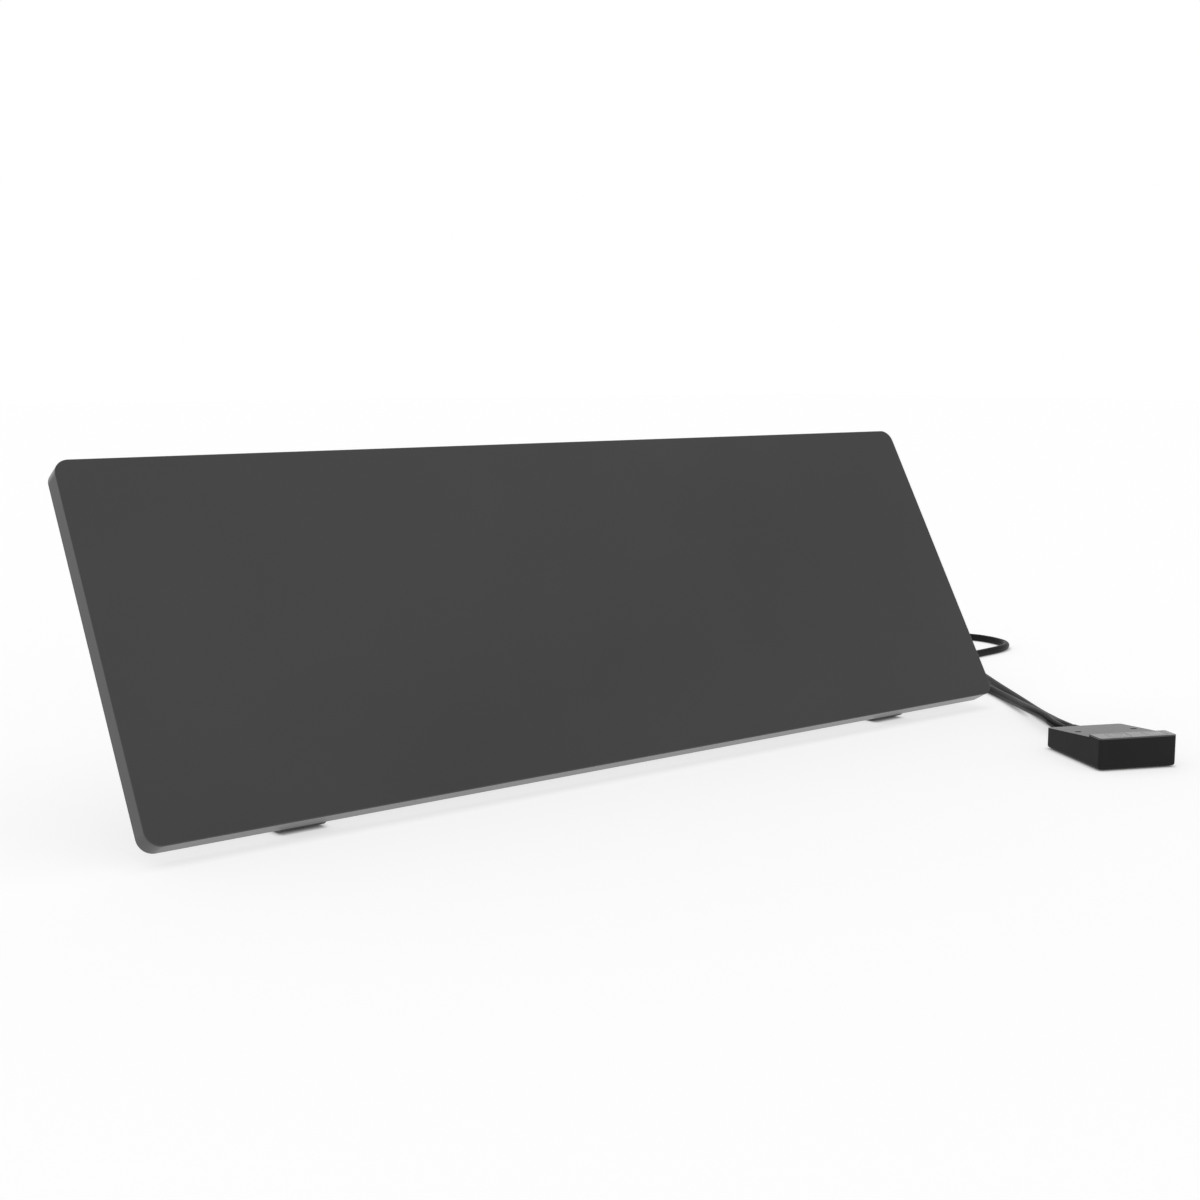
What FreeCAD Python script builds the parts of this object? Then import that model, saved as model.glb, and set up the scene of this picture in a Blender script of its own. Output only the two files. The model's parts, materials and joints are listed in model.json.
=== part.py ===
import FreeCAD, Part
import math
import os

# Under-desk heater: a flat heating panel that leans back on two bent strip feet,
# with a separate control box on its lead. Millimetres, +Z up, floor at Z = 0.
# X runs along the panel, the panel faces -Y, and the origin lies under its middle.

Vec = FreeCAD.Vector
ALONG_X = Vec(1, 0, 0)
ALONG_Y = Vec(0, 1, 0)
ALONG_Z = Vec(0, 0, 1)
ORIGIN = Vec(0, 0, 0)

# Heating panel
PANEL_WIDTH = 900.0
PANEL_HEIGHT = 300.0
PANEL_DEPTH = 18.0
PANEL_LEAN = 30.0
PANEL_CORNER_R = 12.0
PANEL_EDGE_R = 1.0
SHEET = 1.2
SHEET_GAP = 0.2
COVER_GAP = 0.4
SOFT_GAP = 0.3
FLANGE_WIDTH = 12.0
FILM_INSET = 20.0
FILM_THICK = 0.6
BUS_BAR_WIDTH = 8.0
BUS_BAR_THICK = 0.3
BUS_BAR_INSET = 6.0

# Pressed beads that stiffen the rear cover: length and height up the panel
BEAD_WIDTH = 16.0
BEAD_TOP_WIDTH = 9.0
BEAD_HEIGHT = 1.6
LONG_BEAD_INSET = 60.0
SHORT_BEAD_INSET = 190.0
BEAD_FROM_TOP = 38.0
BEAD_ABOVE_FOOT = 24.0
BEAD_FROM_BOTTOM = 34.0

# Cover screws
COVER_SCREW_R = 1.45
COVER_SCREW_LENGTH = 3.4
COVER_HEAD_R = 2.8
COVER_HEAD_HEIGHT = 1.7
COVER_SCREW_INSET = 8.6
COVER_SCREW_END = 30.0
COVER_SCREWS_ACROSS = 7
HEAD_TAPER = 0.75
SCREW_CLEARANCE = 0.25
THREAD_GAP = 0.08

# Bent strip feet
FOOT_WIDTH = 38.0
FOOT_THICK = 3.0
FOOT_INSET = 130.5
FOOT_DROP = 5.0
FOOT_BEND_R = 9.3
FOOT_RISE = 100.0
FOOT_REACH = 140.0
FOOT_END_R = 8.0
FOOT_HOLES_BELOW = (54.0, 18.0)
FOOT_SCREW_R = 1.95
FOOT_SCREW_LENGTH = 8.0
FOOT_HEAD_R = 3.9
FOOT_HEAD_HEIGHT = 2.2
NUT_R = 4.5
NUT_HEIGHT = 4.0
NUT_ROOM = 1.0
PAD_THICK = 1.2
PAD_WIDTH = 32.0
PAD_LENGTH = 15.0
PAD_R = 3.0
PAD_FRONT_GAP = 3.0
PAD_BACK_GAP = 6.0

# Connection box on the panel's back, between the two long beads
BOX_X = 170.0
BOX_WIDTH = 92.0
BOX_HEIGHT = 64.0
BOX_DEPTH = 17.0
BOX_WALL = 2.2
BOX_R = 6.0
LID_DEPTH = 6.0
LID_EDGE_R = 2.2
LID_RIM_DEPTH = 1.5
LID_RIM_THICK = 1.5
LID_BOSS_R = 4.0
LID_BOSS_INSET = 8.5
LID_SCREW_R = 1.2
LID_SCREW_LENGTH = 14.0
LID_HEAD_R = 2.9
LID_HEAD_HEIGHT = 1.9
BASE_SCREW_X = 20.0
BASE_SCREW_LENGTH = 4.7
BASE_HEAD_R = 2.9
BASE_HEAD_HEIGHT = 2.0
ENTRY_R = 8.0
ENTRY_BELOW = 14.0
TERMINAL_SIZE = (30.0, 12.0, 18.0)
TERMINAL_ABOVE = 10.0
TERMINAL_PITCH = 8.0
TERMINAL_R = 1.5
TERMINAL_SCREW_R = 1.6
WINDOW_SIZE = (64.0, 70.0)
WIRE_DIAMETER = 2.4
WIRE_SPREAD = 3.5
WIRE_RUN = 8.0
WIRE_GRIP = 3.0
WIRE_CHANNEL = 5.0
LIMITER_R = 8.5
LIMITER_HEIGHT = 9.0
LIMITER_BODY_R = 7.2
LIMITER_BLADE = (0.8, 3.0, 6.0)
LIMITER_BLADE_X = 3.4
LIMITER_SHIFT = (-16.0, 18.0)

# Strain relief below the connection box
GLAND_Y = 9.0
GLAND_NECK_R = 5.0
GLAND_FLANGE_R = 6.3
GLAND_FLANGE_THICK = 2.0
GLAND_COLLAR_R = 7.6
GLAND_COLLAR_LENGTH = 4.0
GLAND_LENGTH = 32.0
GLAND_RIBS = 6
RIB_DEPTH = 0.7

# Control box: place of its front middle on the floor, and its turn about Z
CONTROL_X = 336.8
CONTROL_Y = -329.3
CONTROL_TURN = -24.3
CONTROL_WIDTH = 73.5
CONTROL_LENGTH = 91.3
CONTROL_BAR_HEIGHT = 28.5
CONTROL_BAR_LENGTH = 18.8
CONTROL_STEP_HEIGHT = 26.2
CONTROL_BACK_HEIGHT = 19.0
CONTROL_R = 3.0
CONTROL_BOTTOM_R = 2.5
CONTROL_TOP_R = 0.5
CONTROL_WALL = 2.0
CONTROL_SPLIT = 4.5
CONTROL_LIP = 1.0
CONTROL_LIP_HEIGHT = 1.6
CONTROL_LIP_GAP = 0.2
CONTROL_FOOT_R = 4.0
CONTROL_FOOT_THICK = 1.0
CONTROL_FOOT_INSET = (9.75, 12.0)
WELL_INSET = 9.45
WELL_Y = 53.2
WELL_R = 3.0
WELL_BOSS_R = 5.0
WELL_POST_R = 4.0
WELL_FLOOR = 11.6
WELL_SEAT = 9.4
CONTROL_SCREW_R = 1.4
CONTROL_SCREW_LENGTH = 7.5
CONTROL_HEAD_R = 2.6
CONTROL_HEAD_HEIGHT = 2.2

# Keys in the raised bar, with the switch under each
KEY_WIDTH = 20.0
KEY_LENGTH = 14.0
KEY_R = 2.0
KEY_GAP = 0.25
KEY_FLANGE = 1.2
KEY_FLANGE_THICK = 1.0
KEY_FLANGE_GAP = 0.2
KEY_STEM_R = 2.4
KEY_TRAVEL = 0.8
POWER_KEY_INSET = 22.25
LEVEL_KEY_INSET = 16.25
BOARD_BELOW_LID = 14.2
BOARD_THICK = 1.6
BOARD_SIDE_GAP = 5.75
BOARD_FRONT = 5.0
BOARD_BACK = 46.0
BOARD_PIN_R = 1.3
BOARD_PIN_INSET = 4.0
BOARD_POST_R = 3.0
SWITCH_SIZE = 6.0
SWITCH_HEIGHT = 3.6
SWITCH_FLOOR = 0.4
PLUNGER_R = 1.7
PLUNGER_GAP = 0.2
PLUNGER_STAND = 1.2
PLUNGER_SPARE = 0.3
RELAY_SIZE = (20.0, 10.0, 6.5)
MODULE_SIZE = (24.0, 16.0, 6.0)
BOARD_PART_Y = 31.0
BOARD_PART_INSET = 2.0
BOARD_PART_R = 0.8
CONTROL_TERMINAL_SIZE = (36.0, 12.0, 9.0)
CONTROL_TERMINAL_BACK = 17.3
CONTROL_TERMINALS = 4

# Twin strain relief at the back of the control box
BOOT_Z = 10.0
BOOT_LENGTH = 24.0
BOOT_WALL = 0.6
BOOT_FLARE = 3.2
BOOT_NECK_GAP = 0.2
BOOT_FLANGE_THICK = 1.8
BOOT_RIBS = 5
BOOT_RIB_THICK = 2.2
LEAD_GAP = 0.4

# Leads and the put-away coil
LEAD_DIAMETER = 8.2
LEAD_REST_GAP = 0.1
LEAD_SLEEVE = 0.8
LEAD_EXIT_RUN = 22.0
COIL_X = 405.0
COIL_Y = 29.0
COIL_OUTER_R = 56.0
COIL_GAP = 0.8
COIL_TURNS = 5.0
COIL_CLIMB = 0.5
COIL_START = 90.0
COIL_ENTRY_RUN = 34.0
TAIL_LEAVE_RUN = 14.0
TAIL_BEND = (24.0, 0.6, -1.6)
TAIL_ENTRY_RUN = 12.0
TIE_ANGLE = 215.0
TIE_WIDTH = 12.0
TIE_THICK = 0.8
TIE_GAP = 0.4
TIE_R = 2.0

# Mains plug, lying on its rim with the pins along -X
PLUG_X = 272.0
PLUG_ROLL = 38.0
PLUG_R = 18.5
PLUG_RIM = 10.0
PLUG_LENGTH = 36.0
PLUG_NECK_R = 9.0
PLUG_WAIST_R = 12.4
PLUG_REST_GAP = 0.2
PLUG_EDGE_R = 1.5
PLUG_BOOT_LENGTH = 30.0
PLUG_BOOT_R = 7.0
PIN_R = 2.4
PIN_LENGTH = 19.0
PIN_SPACING = 19.0
PIN_TIP_R = 1.6
EARTH_WIDTH = 6.0
EARTH_THICK = 0.8
EARTH_DEPTH = 2.6
EARTH_LENGTH = 9.0
EARTH_GAP = 0.3

# Values that follow from the sizes above
LEAN_SIN = math.sin(math.radians(PANEL_LEAN))
LEAN_COS = math.cos(math.radians(PANEL_LEAN))
COVER_SEAT = PANEL_DEPTH - SHEET
FRAME_INSET = SHEET + SHEET_GAP
PANEL_FRONT_Y = PANEL_EDGE_R * (LEAN_COS + LEAN_SIN - 1)
PANEL_BACK_Y = PANEL_HEIGHT * LEAN_SIN + PANEL_DEPTH * LEAN_COS
PANEL_Y = -(PANEL_FRONT_Y + PANEL_BACK_Y) / 2
PANEL_Z = PAD_THICK + FOOT_DROP + PANEL_DEPTH * LEAN_SIN
FOOT_X = PANEL_WIDTH / 2 - FOOT_INSET
FOOT_HOLE_LEVELS = [FOOT_RISE - below for below in FOOT_HOLES_BELOW]
BEAD_LEVEL = FOOT_RISE + BEAD_ABOVE_FOOT
BOX_Z = (BEAD_LEVEL + PANEL_HEIGHT - BEAD_FROM_TOP) / 2
BOX_FLOOR = PANEL_DEPTH + BOX_WALL
BOX_TOP = PANEL_DEPTH + BOX_DEPTH
BOX_LOW_Z = BOX_Z - BOX_HEIGHT / 2
LID_BOSS_X = BOX_WIDTH / 2 - LID_BOSS_INSET
ENTRY_Z = BOX_Z - ENTRY_BELOW
FILM_BACK = SHEET + FILM_THICK
BAR_BACK = FILM_BACK + BUS_BAR_THICK
GLAND_TIP_Z = BOX_LOW_Z - GLAND_LENGTH
GLAND_TIP_R = LEAD_DIAMETER / 2 + LEAD_SLEEVE
PLUG_BOOT_TIP_R = LEAD_DIAMETER / 2 + LEAD_SLEEVE
WELL_X = CONTROL_WIDTH / 2 - WELL_INSET
CONTROL_FOOT_X = CONTROL_WIDTH / 2 - CONTROL_FOOT_INSET[0]
CONTROL_TERMINAL_Y = CONTROL_LENGTH - CONTROL_TERMINAL_BACK
POWER_KEY_X = POWER_KEY_INSET - CONTROL_WIDTH / 2
LEVEL_KEY_X = CONTROL_WIDTH / 2 - LEVEL_KEY_INSET
BOARD_WIDTH = CONTROL_WIDTH - 2 * BOARD_SIDE_GAP
BOARD_Z = CONTROL_STEP_HEIGHT - BOARD_BELOW_LID
BOARD_TOP = BOARD_Z + BOARD_THICK
SWITCH_TOP = BOARD_TOP + SWITCH_HEIGHT
PLUNGER_TOP = SWITCH_TOP + PLUNGER_STAND
KEY_Y = CONTROL_BAR_LENGTH / 2
LEAD_SPACING = LEAD_DIAMETER + LEAD_GAP
BOOT_TIP = (LEAD_SPACING + LEAD_DIAMETER + 2 * BOOT_WALL, LEAD_DIAMETER + 2 * BOOT_WALL)
BOOT_ROOT = (BOOT_TIP[0] + BOOT_FLARE, BOOT_TIP[1] + BOOT_FLARE)
BOOT_NECK = (BOOT_TIP[0], BOOT_TIP[1] - 2 * BOOT_NECK_GAP)
LEAD_FLOOR = LEAD_DIAMETER / 2 + LEAD_REST_GAP
COIL_PITCH = LEAD_DIAMETER + COIL_GAP
COIL_Z = LEAD_FLOOR + TIE_GAP + TIE_THICK
COIL_MIDDLE = COIL_TURNS / 2
COIL_INNER_R = COIL_OUTER_R - COIL_PITCH * (COIL_MIDDLE - COIL_CLIMB / 2)


# Helpers for solids

def round_edges(shape, radius, along):
    """Fillet the straight edges that run along one direction."""
    chosen = []
    for edge in shape.Edges:
        if isinstance(edge.Curve, Part.Line) and abs(edge.Curve.Direction.dot(along)) > 0.999:
            chosen.append(edge)
    return shape.makeFillet(radius, chosen)


def one_solid(shape):
    """Merge the faces of a fused shape and give its single solid."""
    return shape.removeSplitter().Solids[0]


def block(size, low, radius=0.0, along=ALONG_Z):
    """A box by its size and lowest corner, with the edges along one direction rounded."""
    box = Part.makeBox(size[0], size[1], size[2], low)
    if radius > 0:
        box = round_edges(box, radius, along)
    return box


def panel_block(inset, y_from, y_to):
    """The panel's outline, drawn in by an inset, between two depths."""
    size = (PANEL_WIDTH - 2 * inset, y_to - y_from, PANEL_HEIGHT - 2 * inset)
    radius = max(PANEL_CORNER_R - inset, SHEET)
    return block(size, Vec(-size[0] / 2, y_from, inset), radius, ALONG_Y)


def screw(seat, along, radius, length, head_r, head_height):
    """A pan head screw: its seat, the way the shank points, and its sizes."""
    shank = Part.makeCylinder(radius, length, seat, along)
    head = Part.makeCone(head_r, head_r * HEAD_TAPER, head_height, seat, -along)
    return one_solid(head.fuse(shank))


def slot_wire(length, width, centre, across, up):
    """A closed outline with straight sides and half-round ends, in the plane of two directions."""
    half = length / 2 - width / 2
    r = width / 2
    right = centre + across * half
    left = centre - across * half
    edges = [
        Part.LineSegment(left + up * r, right + up * r).toShape(),
        Part.Arc(right + up * r, right + across * r, right - up * r).toShape(),
        Part.LineSegment(right - up * r, left - up * r).toShape(),
        Part.Arc(left - up * r, left - across * r, left + up * r).toShape(),
    ]
    return Part.Wire(edges)


def revolve(profile, base, along):
    """Turn a closed profile of edges about an axis."""
    return Part.Face(Part.Wire(profile)).revolve(base, along, 360)


def lines(points):
    """Straight edges from each point to the next."""
    return [Part.LineSegment(a, b).toShape() for a, b in zip(points, points[1:])]


# Helpers for cords and wires

def corner_arc(start, corner, end):
    """The arc tangent to both legs of a corner whose legs are equally long."""
    middle = (start + end) * 0.5
    half = (end - start).Length / 2
    turn = math.acos(min(1.0, half / (corner - start).Length))
    top = Vec(corner - middle)
    top.normalize()
    return Part.Arc(start, middle + top * (half * math.tan(turn / 2)), end).toShape()


def route_edges(points):
    """Straight runs joined by tangent arcs, and the radius of each arc."""
    edges = []
    radii = []
    here = points[0]
    for before, corner, after in zip(points, points[1:], points[2:]):
        back = Vec(before - corner)
        ahead = Vec(after - corner)
        reach = 0.45 * min(back.Length, ahead.Length)
        half_turn = (math.pi - back.getAngle(ahead)) / 2
        back.normalize()
        ahead.normalize()
        start = corner + back * reach
        end = corner + ahead * reach
        edges.append(Part.LineSegment(here, start).toShape())
        edges.append(corner_arc(start, corner, end))
        radii.append(reach / math.tan(half_turn))
        here = end
    edges.append(Part.LineSegment(here, points[-1]).toShape())
    return edges, radii


def sweep(edges, diameter):
    """A round solid along a path of lines and arcs."""
    first = edges[0]
    start = first.Vertexes[0].Point
    along = first.tangentAt(first.FirstParameter)
    ring = Part.Wire(Part.makeCircle(diameter / 2, start, along))
    shell = Part.BRepOffsetAPI.MakePipeShell(Part.Wire(edges))
    shell.add(ring, False, False)
    shell.build()
    shell.makeSolid()
    return shell.shape()


def tube(name, points, diameter):
    """A cord's tube. Prints the radii of its arcs and compares its volume with section times length."""
    edges, radii = route_edges(points)
    solid = sweep(edges, diameter)
    length = sum(edge.Length for edge in edges)
    ratio = solid.Volume / (math.pi * diameter ** 2 / 4 * length)
    print(name, "length", round(length, 1), "volume ratio", round(ratio, 4))
    print("arc radii", [round(radius, 1) for radius in radii])
    return solid


def biarc(p0, t0, p1, t1):
    """Two arcs that join two points and meet the direction at each."""
    chord = p1 - p0
    bend = 2 * (1 - t0.dot(t1))
    pull = chord.dot(t0 + t1)
    reach = (math.sqrt(pull ** 2 + bend * chord.dot(chord)) - pull) / bend
    first = p0 + t0 * reach
    last = p1 - t1 * reach
    joint = (first + last) * 0.5
    return [corner_arc(p0, first, joint), corner_arc(joint, last, p1)]


# Frames of the leaning panel, the control box and the plug

def lean(shape):
    """Place a panel piece: modelled upright, face at Y = 0, lower edge at Z = 0."""
    placed = shape.copy()
    placed.rotate(ORIGIN, ALONG_X, -PANEL_LEAN)
    placed.translate(Vec(0, PANEL_Y, PANEL_Z))
    return placed


def lean_point(x, y, z):
    """A point of the panel's own frame in the object's frame."""
    depth = PANEL_Y + y * LEAN_COS + z * LEAN_SIN
    return Vec(x, depth, PANEL_Z - y * LEAN_SIN + z * LEAN_COS)


def at_control(shape):
    """Place a piece of the control box: modelled with its front middle at the origin."""
    placed = shape.copy()
    placed.rotate(ORIGIN, ALONG_Z, CONTROL_TURN)
    placed.translate(Vec(CONTROL_X, CONTROL_Y, 0))
    return placed


def control_point(x, y, z):
    """A point of the control box's own frame in the object's frame."""
    turn = FreeCAD.Rotation(ALONG_Z, CONTROL_TURN)
    return turn.multVec(Vec(x, y, z)) + Vec(CONTROL_X, CONTROL_Y, 0)


# Heating panel

def make_front_shell():
    body = panel_block(0, 0, PANEL_DEPTH)
    face_edges = [edge for edge in body.Edges if edge.BoundBox.YMax < PANEL_EDGE_R / 2]
    body = body.makeFillet(PANEL_EDGE_R, face_edges)
    return body.cut(panel_block(SHEET, SHEET, PANEL_DEPTH + SHEET))


def cover_screw_places():
    """Screw centres on the support frame's flange, as x and height on the panel."""
    places = []
    reach = PANEL_WIDTH / 2 - COVER_SCREW_END
    for i in range(COVER_SCREWS_ACROSS):
        x = -reach + 2 * reach * i / (COVER_SCREWS_ACROSS - 1)
        places.append((x, COVER_SCREW_INSET))
        places.append((x, PANEL_HEIGHT - COVER_SCREW_INSET))
    side = PANEL_WIDTH / 2 - COVER_SCREW_INSET
    places.append((side, PANEL_HEIGHT / 2))
    places.append((-side, PANEL_HEIGHT / 2))
    return places


def foot_screw_places():
    """Screw centres of the feet, as x and height on the panel."""
    return [(side * FOOT_X, level) for side in (-1, 1) for level in FOOT_HOLE_LEVELS]


def panel_holes(places, radius):
    """Cylinders through the rear layers of the panel."""
    deep = PANEL_DEPTH + FOOT_THICK
    return [Part.makeCylinder(radius, deep, Vec(x, deep / 2, z), ALONG_Y) for x, z in places]


def make_support_frame():
    ring = panel_block(FRAME_INSET, SHEET, COVER_SEAT)
    inside = panel_block(FRAME_INSET + SHEET, 0, COVER_SEAT - SHEET)
    opening = panel_block(FRAME_INSET + FLANGE_WIDTH, 0, PANEL_DEPTH)
    pilots = panel_holes(cover_screw_places(), COVER_SCREW_R + THREAD_GAP)
    return ring.cut([inside, opening] + pilots)


def make_heating_film():
    return panel_block(FILM_INSET, SHEET, FILM_BACK)


def make_bus_bars():
    inset = FILM_INSET + BUS_BAR_INSET
    size = (PANEL_WIDTH - 2 * inset, BUS_BAR_THICK, BUS_BAR_WIDTH)
    low = Part.makeBox(size[0], size[1], size[2], Vec(-size[0] / 2, FILM_BACK, inset))
    high_z = PANEL_HEIGHT - inset - BUS_BAR_WIDTH
    high = Part.makeBox(size[0], size[1], size[2], Vec(-size[0] / 2, FILM_BACK, high_z))
    return Part.makeCompound([low, high])


def bus_bar_levels():
    """Heights of the middles of the lower and upper bus bar."""
    low = FILM_INSET + BUS_BAR_INSET + BUS_BAR_WIDTH / 2
    return low, PANEL_HEIGHT - low


def make_insulation_board():
    board = panel_block(FRAME_INSET + FLANGE_WIDTH + SOFT_GAP, BAR_BACK + SOFT_GAP, COVER_SEAT - SOFT_GAP)
    width, height = WINDOW_SIZE
    window = Part.makeBox(width, PANEL_DEPTH, height, Vec(BOX_X - width / 2, 0, BOX_Z - height / 2))
    low, high = bus_bar_levels()
    half = WIRE_CHANNEL / 2
    down = Part.makeBox(WIRE_CHANNEL, WIRE_CHANNEL + BAR_BACK, BOX_Z - low + half,
                        Vec(BOX_X - WIRE_SPREAD - half, 0, low - half))
    up = Part.makeBox(WIRE_CHANNEL, WIRE_CHANNEL + BAR_BACK, high - BOX_Z + half,
                      Vec(BOX_X + WIRE_SPREAD - half, 0, BOX_Z))
    pockets = panel_holes(foot_screw_places(), NUT_R + NUT_ROOM)
    return board.cut([window, down, up] + pockets)


def bead(length, level, y_from):
    """A pressed bead along the panel, as a tapered ridge."""
    base = slot_wire(length, BEAD_WIDTH, Vec(0, y_from, level), ALONG_X, ALONG_Z)
    top_length = length - BEAD_WIDTH + BEAD_TOP_WIDTH
    top = slot_wire(top_length, BEAD_TOP_WIDTH, Vec(0, y_from + BEAD_HEIGHT, level), ALONG_X, ALONG_Z)
    return Part.makeLoft([base, top], True, True)


def make_rear_cover():
    sheet = panel_block(SHEET + COVER_GAP, COVER_SEAT, PANEL_DEPTH)
    long_bead = PANEL_WIDTH - 2 * LONG_BEAD_INSET
    short_bead = PANEL_WIDTH - 2 * SHORT_BEAD_INSET
    beads = [
        (long_bead, PANEL_HEIGHT - BEAD_FROM_TOP),
        (long_bead, BEAD_LEVEL),
        (short_bead, BEAD_FROM_BOTTOM),
    ]
    for length, level in beads:
        sheet = sheet.fuse(bead(length, level, PANEL_DEPTH)).cut(bead(length, level, COVER_SEAT))
    holes = panel_holes(cover_screw_places(), COVER_SCREW_R + SCREW_CLEARANCE)
    holes += panel_holes(foot_screw_places(), FOOT_SCREW_R + SCREW_CLEARANCE)
    holes += panel_holes(base_screw_places(), COVER_SCREW_R + THREAD_GAP)
    holes += panel_holes([(BOX_X, ENTRY_Z)], ENTRY_R)
    return one_solid(sheet.cut(holes))


def make_cover_screws():
    sizes = (COVER_SCREW_R, COVER_SCREW_LENGTH, COVER_HEAD_R, COVER_HEAD_HEIGHT)
    seats = [Vec(x, PANEL_DEPTH, z) for x, z in cover_screw_places()]
    return Part.makeCompound([screw(seat, -ALONG_Y, *sizes) for seat in seats])


def make_thermal_limiter():
    x = BOX_X + LIMITER_SHIFT[0]
    z = BOX_Z + LIMITER_SHIFT[1]
    cap_height = LIMITER_HEIGHT / 2
    cap = Part.makeCylinder(LIMITER_R, cap_height, Vec(x, FILM_BACK, z), ALONG_Y)
    body = Part.makeCylinder(LIMITER_BODY_R, LIMITER_HEIGHT, Vec(x, FILM_BACK, z), ALONG_Y)
    thick, length, width = LIMITER_BLADE
    blades = []
    for side in (-1, 1):
        low = Vec(x + side * LIMITER_BLADE_X - thick / 2, FILM_BACK + LIMITER_HEIGHT, z - width / 2)
        blades.append(Part.makeBox(thick, length, width, low))
    return one_solid(cap.fuse([body] + blades))


# Feet

def back_point(height, off=0.0):
    """A point of the panel's back, in the plane X = 0, by its height on the panel and distance off it."""
    return lean_point(0, PANEL_DEPTH + off, height)


def foot_bend():
    """Corner, bend centre and reach of the strip's outer face, in the plane X = 0."""
    corner = back_point(-FOOT_DROP / LEAN_COS)
    half_angle = math.radians(90 - PANEL_LEAN) / 2
    bisector = Vec(0, LEAN_SIN + 1, LEAN_COS)
    bisector.normalize()
    centre = corner + bisector * (FOOT_BEND_R / math.sin(half_angle))
    return corner, centre, bisector, FOOT_BEND_R / math.tan(half_angle)


def make_foot(side):
    corner, centre, bisector, reach = foot_bend()
    up = Vec(0, LEAN_SIN, LEAN_COS)
    off = Vec(0, LEAN_COS, -LEAN_SIN) * FOOT_THICK
    rise = Vec(0, 0, FOOT_THICK)
    heel = Vec(0, PANEL_Y + FOOT_REACH, PAD_THICK)
    outer_up = corner + up * reach
    outer_down = corner + ALONG_Y * reach
    outer_mid = centre - bisector * FOOT_BEND_R
    inner_mid = centre - bisector * (FOOT_BEND_R - FOOT_THICK)
    top = back_point(FOOT_RISE)
    profile = [
        Part.LineSegment(top, outer_up).toShape(),
        Part.Arc(outer_up, outer_mid, outer_down).toShape(),
    ]
    profile += lines([outer_down, heel, heel + rise, outer_down + rise])
    profile.append(Part.Arc(outer_down + rise, inner_mid, outer_up + off).toShape())
    profile += lines([outer_up + off, top + off, top])
    strip = Part.Face(Part.Wire(profile)).extrude(ALONG_X * FOOT_WIDTH)
    strip.translate(Vec(side * FOOT_X - FOOT_WIDTH / 2, 0, 0))
    ends = []
    for edge in strip.Edges:
        thickness = abs(edge.Length - FOOT_THICK) < FOOT_THICK / 10
        at_end = edge.CenterOfMass.y > heel.y - FOOT_THICK or edge.CenterOfMass.z > top.z - FOOT_THICK
        if thickness and at_end:
            ends.append(edge)
    strip = strip.makeFillet(FOOT_END_R, ends)
    holes = panel_holes(foot_screw_places(), FOOT_SCREW_R + SCREW_CLEARANCE)
    return strip.cut([lean(hole) for hole in holes])


def make_foot_screws():
    seat_y = PANEL_DEPTH + FOOT_THICK
    sizes = (FOOT_SCREW_R, FOOT_SCREW_LENGTH, FOOT_HEAD_R, FOOT_HEAD_HEIGHT)
    return Part.makeCompound([screw(Vec(x, seat_y, z), -ALONG_Y, *sizes) for x, z in foot_screw_places()])


def make_clinch_nuts():
    nuts = []
    for x, z in foot_screw_places():
        seat = Vec(x, COVER_SEAT - NUT_HEIGHT, z)
        nut = Part.makeCylinder(NUT_R, NUT_HEIGHT, seat, ALONG_Y)
        nuts.append(nut.cut(Part.makeCylinder(FOOT_SCREW_R + THREAD_GAP, NUT_HEIGHT, seat, ALONG_Y)))
    return Part.makeCompound(nuts)


def make_foot_pads():
    corner, _, _, reach = foot_bend()
    front = corner.y + reach + PAD_FRONT_GAP
    back = PANEL_Y + FOOT_REACH - PAD_BACK_GAP - PAD_LENGTH
    pads = []
    for side in (-1, 1):
        for y in (front, back):
            low = Vec(side * FOOT_X - PAD_WIDTH / 2, y, 0)
            pads.append(block((PAD_WIDTH, PAD_LENGTH, PAD_THICK), low, PAD_R, ALONG_Z))
    return Part.makeCompound(pads)


# Connection box on the panel's back

def box_block(inset, y_from, y_to):
    """The connection box's outline, drawn in by an inset, between two depths."""
    size = (BOX_WIDTH - 2 * inset, y_to - y_from, BOX_HEIGHT - 2 * inset)
    low = Vec(BOX_X - size[0] / 2, y_from, BOX_Z - size[2] / 2)
    return block(size, low, max(BOX_R - inset, BOX_WALL / 2), ALONG_Y)


def lid_screw_places():
    return [(BOX_X + side * LID_BOSS_X, BOX_Z) for side in (-1, 1)]


def base_screw_places():
    return [(BOX_X + side * BASE_SCREW_X, BOX_Z) for side in (-1, 1)]


def make_connection_base():
    tray = box_block(0, PANEL_DEPTH, BOX_TOP).cut(box_block(BOX_WALL, BOX_FLOOR, BOX_TOP + BOX_WALL))
    bosses = []
    pilots = []
    for x, z in lid_screw_places():
        pilot = Vec(x, BOX_FLOOR + BOX_WALL, z)
        bosses.append(Part.makeCylinder(LID_BOSS_R, BOX_TOP - BOX_FLOOR, Vec(x, BOX_FLOOR, z), ALONG_Y))
        pilots.append(Part.makeCylinder(LID_SCREW_R + THREAD_GAP, BOX_DEPTH, pilot, ALONG_Y))
    holes = panel_holes(base_screw_places(), COVER_SCREW_R + SCREW_CLEARANCE)
    holes += panel_holes([(BOX_X, ENTRY_Z)], ENTRY_R)
    gland_seat = Vec(BOX_X, PANEL_DEPTH + GLAND_Y, BOX_LOW_Z - BOX_WALL)
    holes.append(Part.makeCylinder(GLAND_NECK_R + SHEET_GAP, 3 * BOX_WALL, gland_seat, ALONG_Z))
    return one_solid(tray.fuse(bosses).cut(pilots + holes))


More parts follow.
